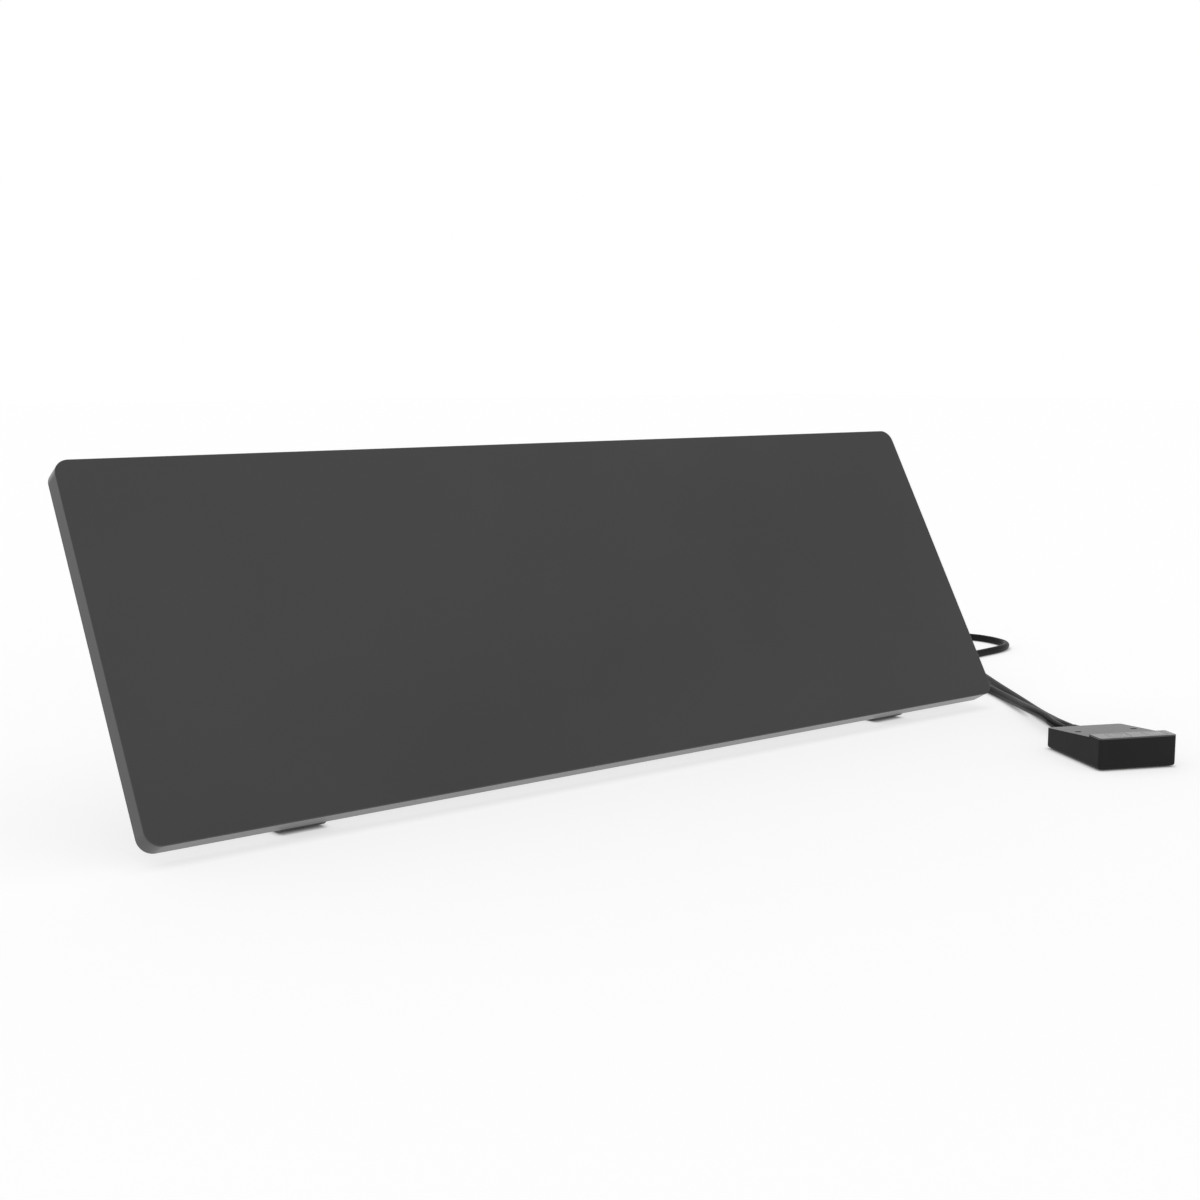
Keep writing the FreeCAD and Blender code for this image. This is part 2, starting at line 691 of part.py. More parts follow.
def make_connection_lid():
    top = BOX_TOP + LID_DEPTH
    cap = box_block(0, BOX_TOP, top)
    rim_edges = [edge for edge in cap.Edges if edge.BoundBox.YMin > top - LID_DEPTH / 4]
    cap = cap.makeFillet(LID_EDGE_R, rim_edges)
    cap = cap.cut(box_block(BOX_WALL, BOX_TOP - BOX_WALL, top - BOX_WALL))
    rim_out = BOX_WALL + SOFT_GAP
    rim = box_block(rim_out, BOX_TOP - LID_RIM_DEPTH, top - BOX_WALL)
    rim = rim.cut(box_block(rim_out + LID_RIM_THICK, BOX_TOP - LID_DEPTH, top))
    posts = []
    holes = []
    for x, z in lid_screw_places():
        foot = Vec(x, BOX_TOP, z)
        posts.append(Part.makeCylinder(LID_BOSS_R, LID_DEPTH - BOX_WALL, foot, ALONG_Y))
        holes.append(Part.makeCylinder(LID_SCREW_R + SCREW_CLEARANCE, 2 * LID_DEPTH, foot, ALONG_Y))
    return one_solid(cap.fuse([rim] + posts).cut(holes))


def make_lid_screws():
    seat_y = BOX_TOP + LID_DEPTH
    sizes = (LID_SCREW_R, LID_SCREW_LENGTH, LID_HEAD_R, LID_HEAD_HEIGHT)
    return Part.makeCompound([screw(Vec(x, seat_y, z), -ALONG_Y, *sizes) for x, z in lid_screw_places()])


def make_base_screws():
    sizes = (COVER_SCREW_R, BASE_SCREW_LENGTH, BASE_HEAD_R, BASE_HEAD_HEIGHT)
    return Part.makeCompound([screw(Vec(x, BOX_FLOOR, z), -ALONG_Y, *sizes) for x, z in base_screw_places()])


def make_terminal_block():
    width, depth, height = TERMINAL_SIZE
    middle_z = BOX_Z + TERMINAL_ABOVE
    low = Vec(BOX_X - width / 2, BOX_FLOOR, middle_z - height / 2)
    body = block(TERMINAL_SIZE, low, TERMINAL_R, ALONG_Y)
    holes = []
    for i in (-1, 0, 1):
        x = BOX_X + i * TERMINAL_PITCH
        for end in (-1, 1):
            mouth = Vec(x, BOX_FLOOR + depth / 2, middle_z + end * height / 2)
            driver = Vec(x, BOX_FLOOR + depth * 2 / 3, middle_z + end * height / 4)
            holes.append(Part.makeCylinder(WIRE_DIAMETER / 2 + SHEET_GAP, height / 3, mouth, ALONG_Z * -end))
            holes.append(Part.makeCylinder(TERMINAL_SCREW_R, depth / 3, driver, ALONG_Y))
    return body.cut(holes)


def make_supply_wires():
    """Two wires from the terminals to the bus bars, and the earth wire to a screw on the cover."""
    mouth_z = BOX_Z + TERMINAL_ABOVE - TERMINAL_SIZE[2] / 2 + WIRE_GRIP
    high_y = BOX_FLOOR + TERMINAL_SIZE[1] / 2
    low_y = BAR_BACK + SOFT_GAP + WIRE_DIAMETER / 2
    low, high = bus_bar_levels()
    down = -ALONG_Z * WIRE_RUN
    routes = []
    for terminal, side, level in ((-1, -1, low), (0, 1, high)):
        x = BOX_X + side * WIRE_SPREAD
        mouth = Vec(BOX_X + terminal * TERMINAL_PITCH, high_y, mouth_z)
        through = [Vec(x, high_y, ENTRY_Z), Vec(x, low_y, ENTRY_Z)]
        routes.append([mouth, mouth + down] + through + [Vec(x, low_y, level)])
    mouth = Vec(BOX_X + TERMINAL_PITCH, high_y, mouth_z)
    tag = Vec(BOX_X + BASE_SCREW_X, BOX_FLOOR + BASE_HEAD_HEIGHT + SOFT_GAP + WIRE_DIAMETER / 2, BOX_Z)
    routes.append([mouth, mouth + down, tag + down, tag])
    return Part.makeCompound([sweep(route_edges(points)[0], WIRE_DIAMETER) for points in routes])


def make_cord_gland():
    """Ribbed strain relief, clipped in the box's lower wall and pointing down the panel."""
    y = PANEL_DEPTH + GLAND_Y
    inner = BOX_LOW_Z + BOX_WALL
    collar = BOX_LOW_Z - GLAND_COLLAR_LENGTH
    outline = [
        (0, inner + GLAND_FLANGE_THICK),
        (GLAND_FLANGE_R, inner + GLAND_FLANGE_THICK),
        (GLAND_FLANGE_R, inner),
        (GLAND_NECK_R, inner),
        (GLAND_NECK_R, BOX_LOW_Z),
        (GLAND_COLLAR_R, BOX_LOW_Z),
        (GLAND_COLLAR_R, collar),
    ]
    outline += ribbed(collar, GLAND_TIP_Z, GLAND_COLLAR_R - RIB_DEPTH, GLAND_TIP_R, GLAND_RIBS)
    outline += [(0, GLAND_TIP_Z), (0, inner + GLAND_FLANGE_THICK)]
    points = [Vec(BOX_X + r, y, z) for r, z in outline]
    return revolve(lines(points), Vec(BOX_X, y, 0), ALONG_Z)


def ribbed(start, end, start_r, end_r, count):
    """Radius and place pairs of a taper with ring grooves, from one end to the other."""
    step = (end - start) / (count + 0.5)
    pairs = []
    for i in range(count):
        groove = start + step * i
        rib = groove + step / 2
        at_groove = start_r + (end_r - start_r) * i / count
        at_rib = start_r + (end_r - start_r) * (i + 0.5) / count
        pairs += [(at_groove, groove), (at_groove - RIB_DEPTH, groove)]
        pairs += [(at_groove - RIB_DEPTH, rib), (at_rib, rib)]
    pairs += [(end_r, end - step / 2), (end_r, end)]
    return pairs


# Control box

def control_block(inset):
    """The control box's outer form, drawn in all round by an inset."""
    drop = (CONTROL_STEP_HEIGHT - CONTROL_BACK_HEIGHT) / (CONTROL_LENGTH - CONTROL_BAR_LENGTH)
    step_y = CONTROL_BAR_LENGTH - inset
    back_y = CONTROL_LENGTH - inset
    under = inset * math.sqrt(1 + drop ** 2)
    step_z = CONTROL_STEP_HEIGHT + drop * inset - under
    back_z = CONTROL_BACK_HEIGHT + drop * inset - under
    low_z = CONTROL_FOOT_THICK + inset
    bar_z = CONTROL_BAR_HEIGHT - inset
    outline = [(inset, low_z), (back_y, low_z), (back_y, back_z)]
    outline += [(step_y, step_z), (step_y, bar_z), (inset, bar_z)]
    points = [Vec(-CONTROL_WIDTH / 2 + inset, y, z) for y, z in outline]
    form = Part.Face(Part.Wire(lines(points + points[:1]))).extrude(ALONG_X * (CONTROL_WIDTH - 2 * inset))
    corners = []
    for edge in form.Edges:
        upright = abs(edge.tangentAt(edge.FirstParameter).z) > 0.999
        at_step = abs(edge.CenterOfMass.y - step_y) < CONTROL_WALL / 2
        if upright and not at_step:
            corners.append(edge)
    return form.makeFillet(max(CONTROL_R - inset, CONTROL_WALL / 2), corners)


def make_control_form():
    """Outer form with its lower edge rounded."""
    form = control_block(0)
    low_edges = [edge for edge in form.Edges if edge.BoundBox.ZMax < CONTROL_FOOT_THICK + CONTROL_TOP_R]
    form = form.makeFillet(CONTROL_BOTTOM_R, low_edges)
    high_edges = [edge for edge in form.Edges if edge.BoundBox.ZMin > CONTROL_BAR_HEIGHT - CONTROL_TOP_R]
    return form.makeFillet(CONTROL_TOP_R, high_edges)


def control_layer(z_from, z_to):
    """A slab as wide as the control box and more, between two heights."""
    width = 2 * CONTROL_WIDTH
    length = 2 * CONTROL_LENGTH
    return Part.makeBox(width, length, z_to - z_from, Vec(-width / 2, -length / 4, z_from))


def well_places():
    return [Vec(side * WELL_X, WELL_Y, 0) for side in (-1, 1)]


def board_pin_places():
    x = BOARD_WIDTH / 2 - BOARD_PIN_INSET
    front = BOARD_FRONT + BOARD_PIN_INSET
    back = BOARD_BACK - BOARD_PIN_INSET
    return [Vec(side * x, y, 0) for side in (-1, 1) for y in (front, back)]


def boot_prism(size, gap, y_from, y_to):
    """A prism of the strain relief's form, widened by a gap, between two places along the box."""
    width, height = size
    wire = slot_wire(width + 2 * gap, height + 2 * gap, Vec(0, y_from, BOOT_Z), ALONG_X, ALONG_Z)
    return Part.Face(wire).extrude(ALONG_Y * (y_to - y_from))


def boot_room():
    """Room for the strain relief's neck through the back wall and for its flange inside."""
    inner = CONTROL_LENGTH - CONTROL_WALL
    neck = boot_prism(BOOT_NECK, BOOT_NECK_GAP, inner - BOOT_NECK_GAP, CONTROL_LENGTH + CONTROL_WALL)
    flange = boot_prism(BOOT_ROOT, BOOT_NECK_GAP, inner - 2 * BOOT_FLANGE_THICK, inner)
    return [neck, flange]


def lip_ring(gap, z_from, z_to):
    """A ring inside the walls, a gap away from them, between two heights."""
    room = control_block(CONTROL_WALL + CONTROL_LIP + CONTROL_LIP_GAP)
    below = room.copy()
    below.translate(-ALONG_Z * (CONTROL_LIP + CONTROL_LIP_GAP))
    ring = control_block(CONTROL_WALL + gap).cut([room, below])
    return ring.common(control_layer(z_from, z_to))


def make_control_base():
    shell = make_control_form().cut(control_block(CONTROL_WALL))
    base = shell.common(control_layer(0, CONTROL_SPLIT))
    floor_z = CONTROL_FOOT_THICK + CONTROL_WALL / 2
    posts = [
        lip_ring(0, floor_z, CONTROL_SPLIT),
        lip_ring(CONTROL_LIP_GAP, CONTROL_SPLIT, CONTROL_SPLIT + CONTROL_LIP_HEIGHT),
    ]
    for place in board_pin_places():
        foot = place + ALONG_Z * floor_z
        posts.append(Part.makeCylinder(BOARD_POST_R, BOARD_Z - floor_z, foot))
        posts.append(Part.makeCylinder(BOARD_PIN_R, BOARD_TOP + BOARD_THICK / 2 - floor_z, foot))
    pilots = []
    for place in well_places():
        pilot = place + ALONG_Z * (WELL_FLOOR - CONTROL_SCREW_LENGTH - THREAD_GAP)
        posts.append(Part.makeCylinder(WELL_POST_R, WELL_SEAT - floor_z, place + ALONG_Z * floor_z))
        pilots.append(Part.makeCylinder(CONTROL_SCREW_R + THREAD_GAP, WELL_SEAT, pilot))
    return one_solid(base.fuse(posts).cut(pilots + boot_room()))


def key_windows():
    """Openings for the two keys in the bar."""
    size = (KEY_WIDTH, KEY_LENGTH, CONTROL_BAR_HEIGHT)
    windows = []
    for x in (POWER_KEY_X, LEVEL_KEY_X):
        low = Vec(x - KEY_WIDTH / 2, KEY_Y - KEY_LENGTH / 2, CONTROL_BAR_HEIGHT / 2)
        windows.append(block(size, low, KEY_R, ALONG_Z))
    return windows


def make_control_cover():
    form = make_control_form()
    cover = form.cut(control_block(CONTROL_WALL)).common(control_layer(CONTROL_SPLIT, 2 * CONTROL_BAR_HEIGHT))
    bosses = []
    wells = key_windows()
    for place in well_places():
        boss = Part.makeCylinder(WELL_BOSS_R, CONTROL_BAR_HEIGHT - WELL_SEAT, place + ALONG_Z * WELL_SEAT)
        bosses.append(boss.common(form))
        wells.append(Part.makeCylinder(WELL_R, CONTROL_BAR_HEIGHT, place + ALONG_Z * WELL_FLOOR))
        wells.append(Part.makeCylinder(CONTROL_SCREW_R + SCREW_CLEARANCE, CONTROL_BAR_HEIGHT, place))
    return one_solid(cover.fuse(bosses).cut(wells + boot_room()))


def make_control_screws():
    sizes = (CONTROL_SCREW_R, CONTROL_SCREW_LENGTH, CONTROL_HEAD_R, CONTROL_HEAD_HEIGHT)
    seats = [place + ALONG_Z * WELL_FLOOR for place in well_places()]
    return Part.makeCompound([screw(seat, -ALONG_Z, *sizes) for seat in seats])


def make_control_feet():
    feet = []
    for x in (-CONTROL_FOOT_X, CONTROL_FOOT_X):
        for y in (CONTROL_FOOT_INSET[1], CONTROL_LENGTH - CONTROL_FOOT_INSET[1]):
            feet.append(Part.makeCylinder(CONTROL_FOOT_R, CONTROL_FOOT_THICK, Vec(x, y, 0)))
    return Part.makeCompound(feet)


def make_control_board():
    size = (BOARD_WIDTH, BOARD_BACK - BOARD_FRONT, BOARD_THICK)
    board = block(size, Vec(-BOARD_WIDTH / 2, BOARD_FRONT, BOARD_Z), BOARD_PIN_R, ALONG_Z)
    holes = [Part.makeCylinder(BOARD_PIN_R + SHEET_GAP, 2 * BOARD_TOP, place) for place in board_pin_places()]
    return board.cut(holes)


def make_switch(x):
    low = Vec(x - SWITCH_SIZE / 2, KEY_Y - SWITCH_SIZE / 2, BOARD_TOP)
    housing = block((SWITCH_SIZE, SWITCH_SIZE, SWITCH_HEIGHT), low, SWITCH_FLOOR, ALONG_Z)
    mouth = Vec(x, KEY_Y, BOARD_TOP + SWITCH_FLOOR)
    return housing.cut(Part.makeCylinder(PLUNGER_R + PLUNGER_GAP, SWITCH_HEIGHT, mouth))


def make_plunger(x):
    low = BOARD_TOP + SWITCH_FLOOR + KEY_TRAVEL + PLUNGER_SPARE
    return Part.makeCylinder(PLUNGER_R, PLUNGER_TOP - low, Vec(x, KEY_Y, low))


def make_key(x):
    """Key cap flush with the bar, its two flanges under the bar's wall and its stem on the plunger."""
    wall_z = CONTROL_BAR_HEIGHT - CONTROL_WALL
    flange_top = wall_z - KEY_FLANGE_GAP
    flange_low = flange_top - KEY_FLANGE_THICK
    cap_size = (KEY_WIDTH - 2 * KEY_GAP, KEY_LENGTH - 2 * KEY_GAP, CONTROL_BAR_HEIGHT - flange_low)
    low = Vec(x - cap_size[0] / 2, KEY_Y - cap_size[1] / 2, flange_low)
    cap = block(cap_size, low, KEY_R - KEY_GAP, ALONG_Z)
    top_edges = [edge for edge in cap.Edges if edge.BoundBox.ZMin > CONTROL_BAR_HEIGHT - KEY_GAP]
    cap = cap.makeFillet(KEY_GAP, top_edges)
    room = CONTROL_BAR_LENGTH - 2 * (CONTROL_WALL + KEY_FLANGE_GAP)
    flange_size = (KEY_WIDTH + 2 * KEY_FLANGE, min(cap_size[1], room), KEY_FLANGE_THICK)
    low = Vec(x - flange_size[0] / 2, KEY_Y - flange_size[1] / 2, flange_low)
    flange = block(flange_size, low, KEY_R, ALONG_Z)
    stem = Part.makeCylinder(KEY_STEM_R, flange_low - PLUNGER_TOP, Vec(x, KEY_Y, PLUNGER_TOP))
    return one_solid(cap.fuse([flange, stem]))


def board_part(size, side):
    """A block on the board, near its left side (-1) or right side (1)."""
    x = side * (BOARD_WIDTH / 2 - BOARD_PART_INSET - size[0] / 2)
    low = Vec(x - size[0] / 2, BOARD_PART_Y - size[1] / 2, BOARD_TOP)
    return block(size, low, BOARD_PART_R, ALONG_Z)


def make_control_terminals():
    """Row of terminals for both leads, on the floor of the base."""
    width, length, height = CONTROL_TERMINAL_SIZE
    low = Vec(-width / 2, CONTROL_TERMINAL_Y - length / 2, CONTROL_FOOT_THICK + CONTROL_WALL)
    body = block(CONTROL_TERMINAL_SIZE, low, BOARD_PART_R, ALONG_Z)
    holes = []
    for i in range(CONTROL_TERMINALS):
        x = low.x + (i + 0.5) * width / CONTROL_TERMINALS
        mouth = Vec(x, low.y + length, low.z + height / 2)
        driver = Vec(x, CONTROL_TERMINAL_Y, low.z + height)
        holes.append(Part.makeCylinder(WIRE_DIAMETER / 2 + SHEET_GAP, length / 3, mouth, -ALONG_Y))
        holes.append(Part.makeCylinder(TERMINAL_SCREW_R, height / 3, driver, -ALONG_Z))
    return body.cut(holes)


def make_cord_boot():
    """Tapered twin strain relief, trapped between the box's two halves."""
    root = CONTROL_LENGTH
    tip = CONTROL_LENGTH + BOOT_LENGTH

    def section(share, extra, y):
        width = BOOT_ROOT[0] + (BOOT_TIP[0] - BOOT_ROOT[0]) * share + extra
        height = BOOT_ROOT[1] + (BOOT_TIP[1] - BOOT_ROOT[1]) * share + extra
        return slot_wire(width, height, Vec(0, y, BOOT_Z), ALONG_X, ALONG_Z)

    pieces = [Part.makeLoft([section(0, -2 * RIB_DEPTH, root), section(1, -RIB_DEPTH, tip)], True, True)]
    for i in range(BOOT_RIBS):
        share = i / (BOOT_RIBS - 1)
        y = root + share * (BOOT_LENGTH - BOOT_RIB_THICK)
        pieces.append(Part.Face(section(share, 0, y)).extrude(ALONG_Y * BOOT_RIB_THICK))
    inner = CONTROL_LENGTH - CONTROL_WALL
    neck = boot_prism(BOOT_NECK, 0, inner, root)
    flange = boot_prism(BOOT_ROOT, 0, inner - BOOT_FLANGE_THICK, inner)
    return one_solid(pieces[0].fuse(pieces[1:] + [neck, flange]))


# Leads, coil and plug

def coil_point(turn):
    """Centreline of the coil by its turn: in on the lower layer, up in half a turn, out on the upper."""
    half = COIL_CLIMB / 2
    from_middle = turn - COIL_MIDDLE
    distance = abs(from_middle)
    if distance > half:
        radius = COIL_INNER_R + COIL_PITCH * (distance - half)
    else:
        radius = COIL_INNER_R - COIL_PITCH * (half ** 2 - distance ** 2) / (2 * half)
    climb = max(-1.0, min(1.0, from_middle / half))
    z = COIL_Z + COIL_PITCH * (0.5 + 0.5 * math.sin(climb * math.pi / 2))
    angle = math.radians(COIL_START) + 2 * math.pi * turn
    return Vec(COIL_X + radius * math.cos(angle), COIL_Y + radius * math.sin(angle), z)


def coil_direction(turn):
    """Direction of the coil's centreline at a turn."""
    small = 0.001
    along = coil_point(min(turn + small, COIL_TURNS)) - coil_point(max(turn - small, 0))
    along.normalize()
    return along


def coil_ends():
    """Outer ends of the coil's straight tails, with the direction of the cord at each."""
    entry = coil_direction(0)
    leave = coil_direction(COIL_TURNS)
    return coil_point(0) - entry * LEAD_DIAMETER, entry, coil_point(COIL_TURNS) + leave * LEAD_DIAMETER, leave


def coil_least_gap():
    """Least gap between turns of the coil, measured on points of its centreline."""
    steps = 60
    count = int(COIL_TURNS * steps)
    points = [coil_point(i / steps) for i in range(count + 1)]
    least = COIL_OUTER_R
    for i, point in enumerate(points):
        for other in points[i + steps // 2:]:
            least = min(least, point.distanceToPoint(other))
    return least - LEAD_DIAMETER


def make_mains_coil():
    start, _, end, _ = coil_ends()
    edges = [Part.LineSegment(start, coil_point(0)).toShape()]
    quarters = int(COIL_TURNS * 4)
    for i in range(quarters):
        a = i / 4
        b = (i + 1) / 4
        edges += biarc(coil_point(a), coil_direction(a), coil_point(b), coil_direction(b))
    edges.append(Part.LineSegment(coil_point(COIL_TURNS), end).toShape())
    coil = sweep(edges, LEAD_DIAMETER)
    length = sum(edge.Length for edge in edges)
    expected = math.pi * LEAD_DIAMETER ** 2 / 4 * length
    print("mains_coil length", round(length, 1), "volume ratio", round(coil.Volume / expected, 4),
          "least gap", round(coil_least_gap(), 2))
    return coil


def make_coil_tie():
    """Flat strap round the coil's turns at one place."""
    inner_r = COIL_INNER_R - COIL_PITCH * COIL_CLIMB / 4 - LEAD_DIAMETER / 2 - 2 * TIE_GAP
    outer_r = COIL_OUTER_R + LEAD_DIAMETER / 2 + TIE_GAP
    low = COIL_Z - LEAD_DIAMETER / 2 - TIE_GAP
    high = COIL_Z + COIL_PITCH + LEAD_DIAMETER / 2 + TIE_GAP
    room = (outer_r - inner_r, TIE_WIDTH, high - low)
    inside = block(room, Vec(inner_r, -TIE_WIDTH / 2, low), TIE_R, ALONG_Y)
    size = (room[0] + 2 * TIE_THICK, TIE_WIDTH, room[2] + 2 * TIE_THICK)
    strap = block(size, Vec(inner_r - TIE_THICK, -TIE_WIDTH / 2, low - TIE_THICK), TIE_R + TIE_THICK, ALONG_Y)
    strap = strap.cut(inside)
    strap.rotate(ORIGIN, ALONG_Z, TIE_ANGLE)
    strap.translate(Vec(COIL_X, COIL_Y, 0))
    return strap


def heater_lead_points():
    """From the panel's strain relief down to the floor, round behind the panel and to the control box."""
    start = lean_point(BOX_X, PANEL_DEPTH + GLAND_Y, GLAND_TIP_Z)
    down = Vec(0, -LEAN_SIN, -LEAN_COS)
    x = LEAD_SPACING / 2
    end = control_point(x, CONTROL_LENGTH + BOOT_LENGTH, BOOT_Z)
    before = control_point(x, CONTROL_LENGTH + BOOT_LENGTH + LEAD_EXIT_RUN, BOOT_Z)
    floor = LEAD_FLOOR
    points = [
        start,
        start + down * LEAD_EXIT_RUN,
        Vec(171, -13, 62),
        Vec(174, -8, 41),
        Vec(180, 5, 24),
        Vec(188, 23, 11.5),
        Vec(197, 43, 5.6),
        Vec(208, 67, floor),
        Vec(227, 98, floor),
        Vec(260, 124, floor),
        Vec(310, 143, floor),
        Vec(375, 159, floor),
        Vec(450, 175, floor),
        Vec(530, 198, floor),
        Vec(610, 223, floor),
        Vec(672, 238, floor),
        Vec(716, 237, floor),
        Vec(748, 223, floor),
        Vec(764, 197, floor),
        Vec(763, 165, floor),
        Vec(751, 137, floor),
        Vec(723, 123, floor),
        Vec(690, 119, floor),
        Vec(656, 116, floor),
        Vec(622, 98, floor),
        Vec(592, 66, floor),
        Vec(565, 27, floor),
        Vec(521, -34.6, floor),
        Vec(483.5, -90.2, floor),
        Vec(445, -144.4, 4.5),
        Vec(420, -179.5, 6.4),
        before,
        end,
    ]
    return points


def mains_lead_points():
    """From the control box to the coil behind the panel's end."""
    x = -LEAD_SPACING / 2
    start = control_point(x, CONTROL_LENGTH + BOOT_LENGTH, BOOT_Z)
    after = control_point(x, CONTROL_LENGTH + BOOT_LENGTH + LEAD_EXIT_RUN, BOOT_Z)
    coil_end, coil_along, _, _ = coil_ends()
    floor = LEAD_FLOOR
    points = [
        start,
        after,
        Vec(408, -178.6, 11.8),
        Vec(435.5, -138, 9),
        Vec(466.5, -96.6, 5.8),
        Vec(493.5, -56, floor),
        Vec(508.5, -28, floor),
        Vec(516, 5, floor),
        Vec(512, 38, floor),
        Vec(494, 66, floor),
        coil_end - coil_along * COIL_ENTRY_RUN,
        coil_end,
    ]
    return points


def mains_tail_points():
    """From the coil's upper layer to the plug."""
    _, _, start, along = coil_ends()
    end = plug_point(-PLUG_LENGTH - PLUG_BOOT_LENGTH)
    return [start, start + along * TAIL_LEAVE_RUN, end + Vec(*TAIL_BEND), end + ALONG_X * TAIL_ENTRY_RUN, end]


def plug_point(forward):
    """A point of the plug's axis, by its distance in front of the plug's face."""
    coil_y = coil_point(COIL_TURNS).y
    return Vec(PLUG_X - forward, coil_y, PLUG_R + PLUG_REST_GAP)


def at_plug(shape):
    """Place a piece of the plug: modelled with its face at the origin and its pins along +X."""
    placed = shape.copy()
    placed.rotate(ORIGIN, ALONG_X, PLUG_ROLL)
    placed.rotate(ORIGIN, ALONG_Z, 180)
    placed.translate(plug_point(0))
    return placed


def earth_slot(width, depth, front):
    """Blocks at the plug's two sides, as deep as the earth contacts' grooves."""
    low = PLUG_R - depth
    size = (EARTH_LENGTH + front, width, PLUG_R)
    side = Part.makeBox(size[0], size[1], size[2], Vec(-EARTH_LENGTH, -width / 2, low))
    other = side.copy()
    other.rotate(ORIGIN, ALONG_X, 180)
    return [side, other]


def make_plug_body():
    back = -PLUG_LENGTH
    neck = Vec(back, 0, PLUG_NECK_R)
    waist = Vec(-(PLUG_LENGTH + PLUG_RIM) / 2, 0, PLUG_WAIST_R)
    shoulder = Vec(-PLUG_RIM, 0, PLUG_R)
    profile = lines([ORIGIN, Vec(back, 0, 0), neck])
    profile.append(Part.Arc(neck, waist, shoulder).toShape())
    profile += lines([shoulder, Vec(0, 0, PLUG_R), ORIGIN])
    body = revolve(profile, ORIGIN, ALONG_X)
    rim = [edge for edge in body.Edges if edge.Closed and edge.BoundBox.XMin > -PLUG_EDGE_R]
    body = body.makeFillet(PLUG_EDGE_R, rim)
    return body.cut(earth_slot(EARTH_WIDTH + 2 * EARTH_GAP, EARTH_DEPTH, PLUG_EDGE_R))


def make_plug_pins():
    pins = []
    for side in (-1, 1):
        pin = Part.makeCylinder(PIN_R, PIN_LENGTH, Vec(0, side * PIN_SPACING / 2, 0), ALONG_X)
        tip = [edge for edge in pin.Edges if edge.BoundBox.XMin > PIN_LENGTH / 2]
        pins.append(pin.makeFillet(PIN_TIP_R, tip))
    return Part.makeCompound(pins)


def make_plug_contacts():
    """Earth strips that lie in the plug's side grooves."""
    length = EARTH_LENGTH - 2 * EARTH_GAP
    low = Vec(-EARTH_LENGTH + EARTH_GAP, -EARTH_WIDTH / 2, PLUG_R - EARTH_DEPTH)
    strip = block((length, EARTH_WIDTH, EARTH_THICK), low, EARTH_THICK, ALONG_Z)
    other = strip.copy()
    other.rotate(ORIGIN, ALONG_X, 180)
    return Part.makeCompound([strip, other])


def make_plug_boot():
    back = -PLUG_LENGTH - PLUG_BOOT_LENGTH
    outline = [(0, -PLUG_LENGTH)]
    outline += ribbed(-PLUG_LENGTH, back, PLUG_BOOT_R, PLUG_BOOT_TIP_R, GLAND_RIBS)
    outline += [(0, back), (0, -PLUG_LENGTH)]
    return revolve(lines([Vec(x, 0, r) for r, x in outline]), ORIGIN, ALONG_X)


def make_nodes():
    """Every piece of the heater by its name, in place."""
    nodes = {
        "front_shell": lean(make_front_shell()),
        "support_frame": lean(make_support_frame()),
        "heating_film": lean(make_heating_film()),
        "bus_bars": lean(make_bus_bars()),
        "insulation_board": lean(make_insulation_board()),
        "thermal_limiter": lean(make_thermal_limiter()),
        "rear_cover": lean(make_rear_cover()),
        "cover_screws": lean(make_cover_screws()),
        "foot_left": make_foot(-1),
        "foot_right": make_foot(1),
        "foot_screws": lean(make_foot_screws()),
        "clinch_nuts": lean(make_clinch_nuts()),
        "foot_pads": make_foot_pads(),
        "connection_base": lean(make_connection_base()),
        "connection_lid": lean(make_connection_lid()),
        "lid_screws": lean(make_lid_screws()),
        "base_screws": lean(make_base_screws()),
        "terminal_block": lean(make_terminal_block()),
        "supply_wires": lean(make_supply_wires()),
        "cord_gland": lean(make_cord_gland()),
        "control_base": at_control(make_control_base()),
        "control_cover": at_control(make_control_cover()),
        "control_screws": at_control(make_control_screws()),
        "control_feet": at_control(make_control_feet()),
        "control_board": at_control(make_control_board()),
        "control_relay": at_control(board_part(RELAY_SIZE, -1)),
        "control_module": at_control(board_part(MODULE_SIZE, 1)),
        "control_terminals": at_control(make_control_terminals()),
        "power_switch": at_control(make_switch(POWER_KEY_X)),
        "level_switch": at_control(make_switch(LEVEL_KEY_X)),
        "power_plunger": at_control(make_plunger(POWER_KEY_X)),
        "level_plunger": at_control(make_plunger(LEVEL_KEY_X)),
        "power_key": at_control(make_key(POWER_KEY_X)),
        "level_key": at_control(make_key(LEVEL_KEY_X)),
        "cord_boot": at_control(make_cord_boot()),
        "heater_lead": tube("heater_lead", heater_lead_points(), LEAD_DIAMETER),
        "mains_lead": tube("mains_lead", mains_lead_points(), LEAD_DIAMETER),
        "mains_coil": make_mains_coil(),
        "coil_tie": make_coil_tie(),
        "mains_tail": tube("mains_tail", mains_tail_points(), LEAD_DIAMETER),
        "plug_body": at_plug(make_plug_body()),
        "plug_boot": at_plug(make_plug_boot()),
        "plug_pins": at_plug(make_plug_pins()),
        "plug_contacts": at_plug(make_plug_contacts()),
    }
    return nodes


os.makedirs("parts", exist_ok=True)
for name, shape in make_nodes().items():
    shape.exportStep("parts/" + name + ".step")
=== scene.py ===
import json
import math

import bmesh
import bpy
from mathutils import Matrix, Vector


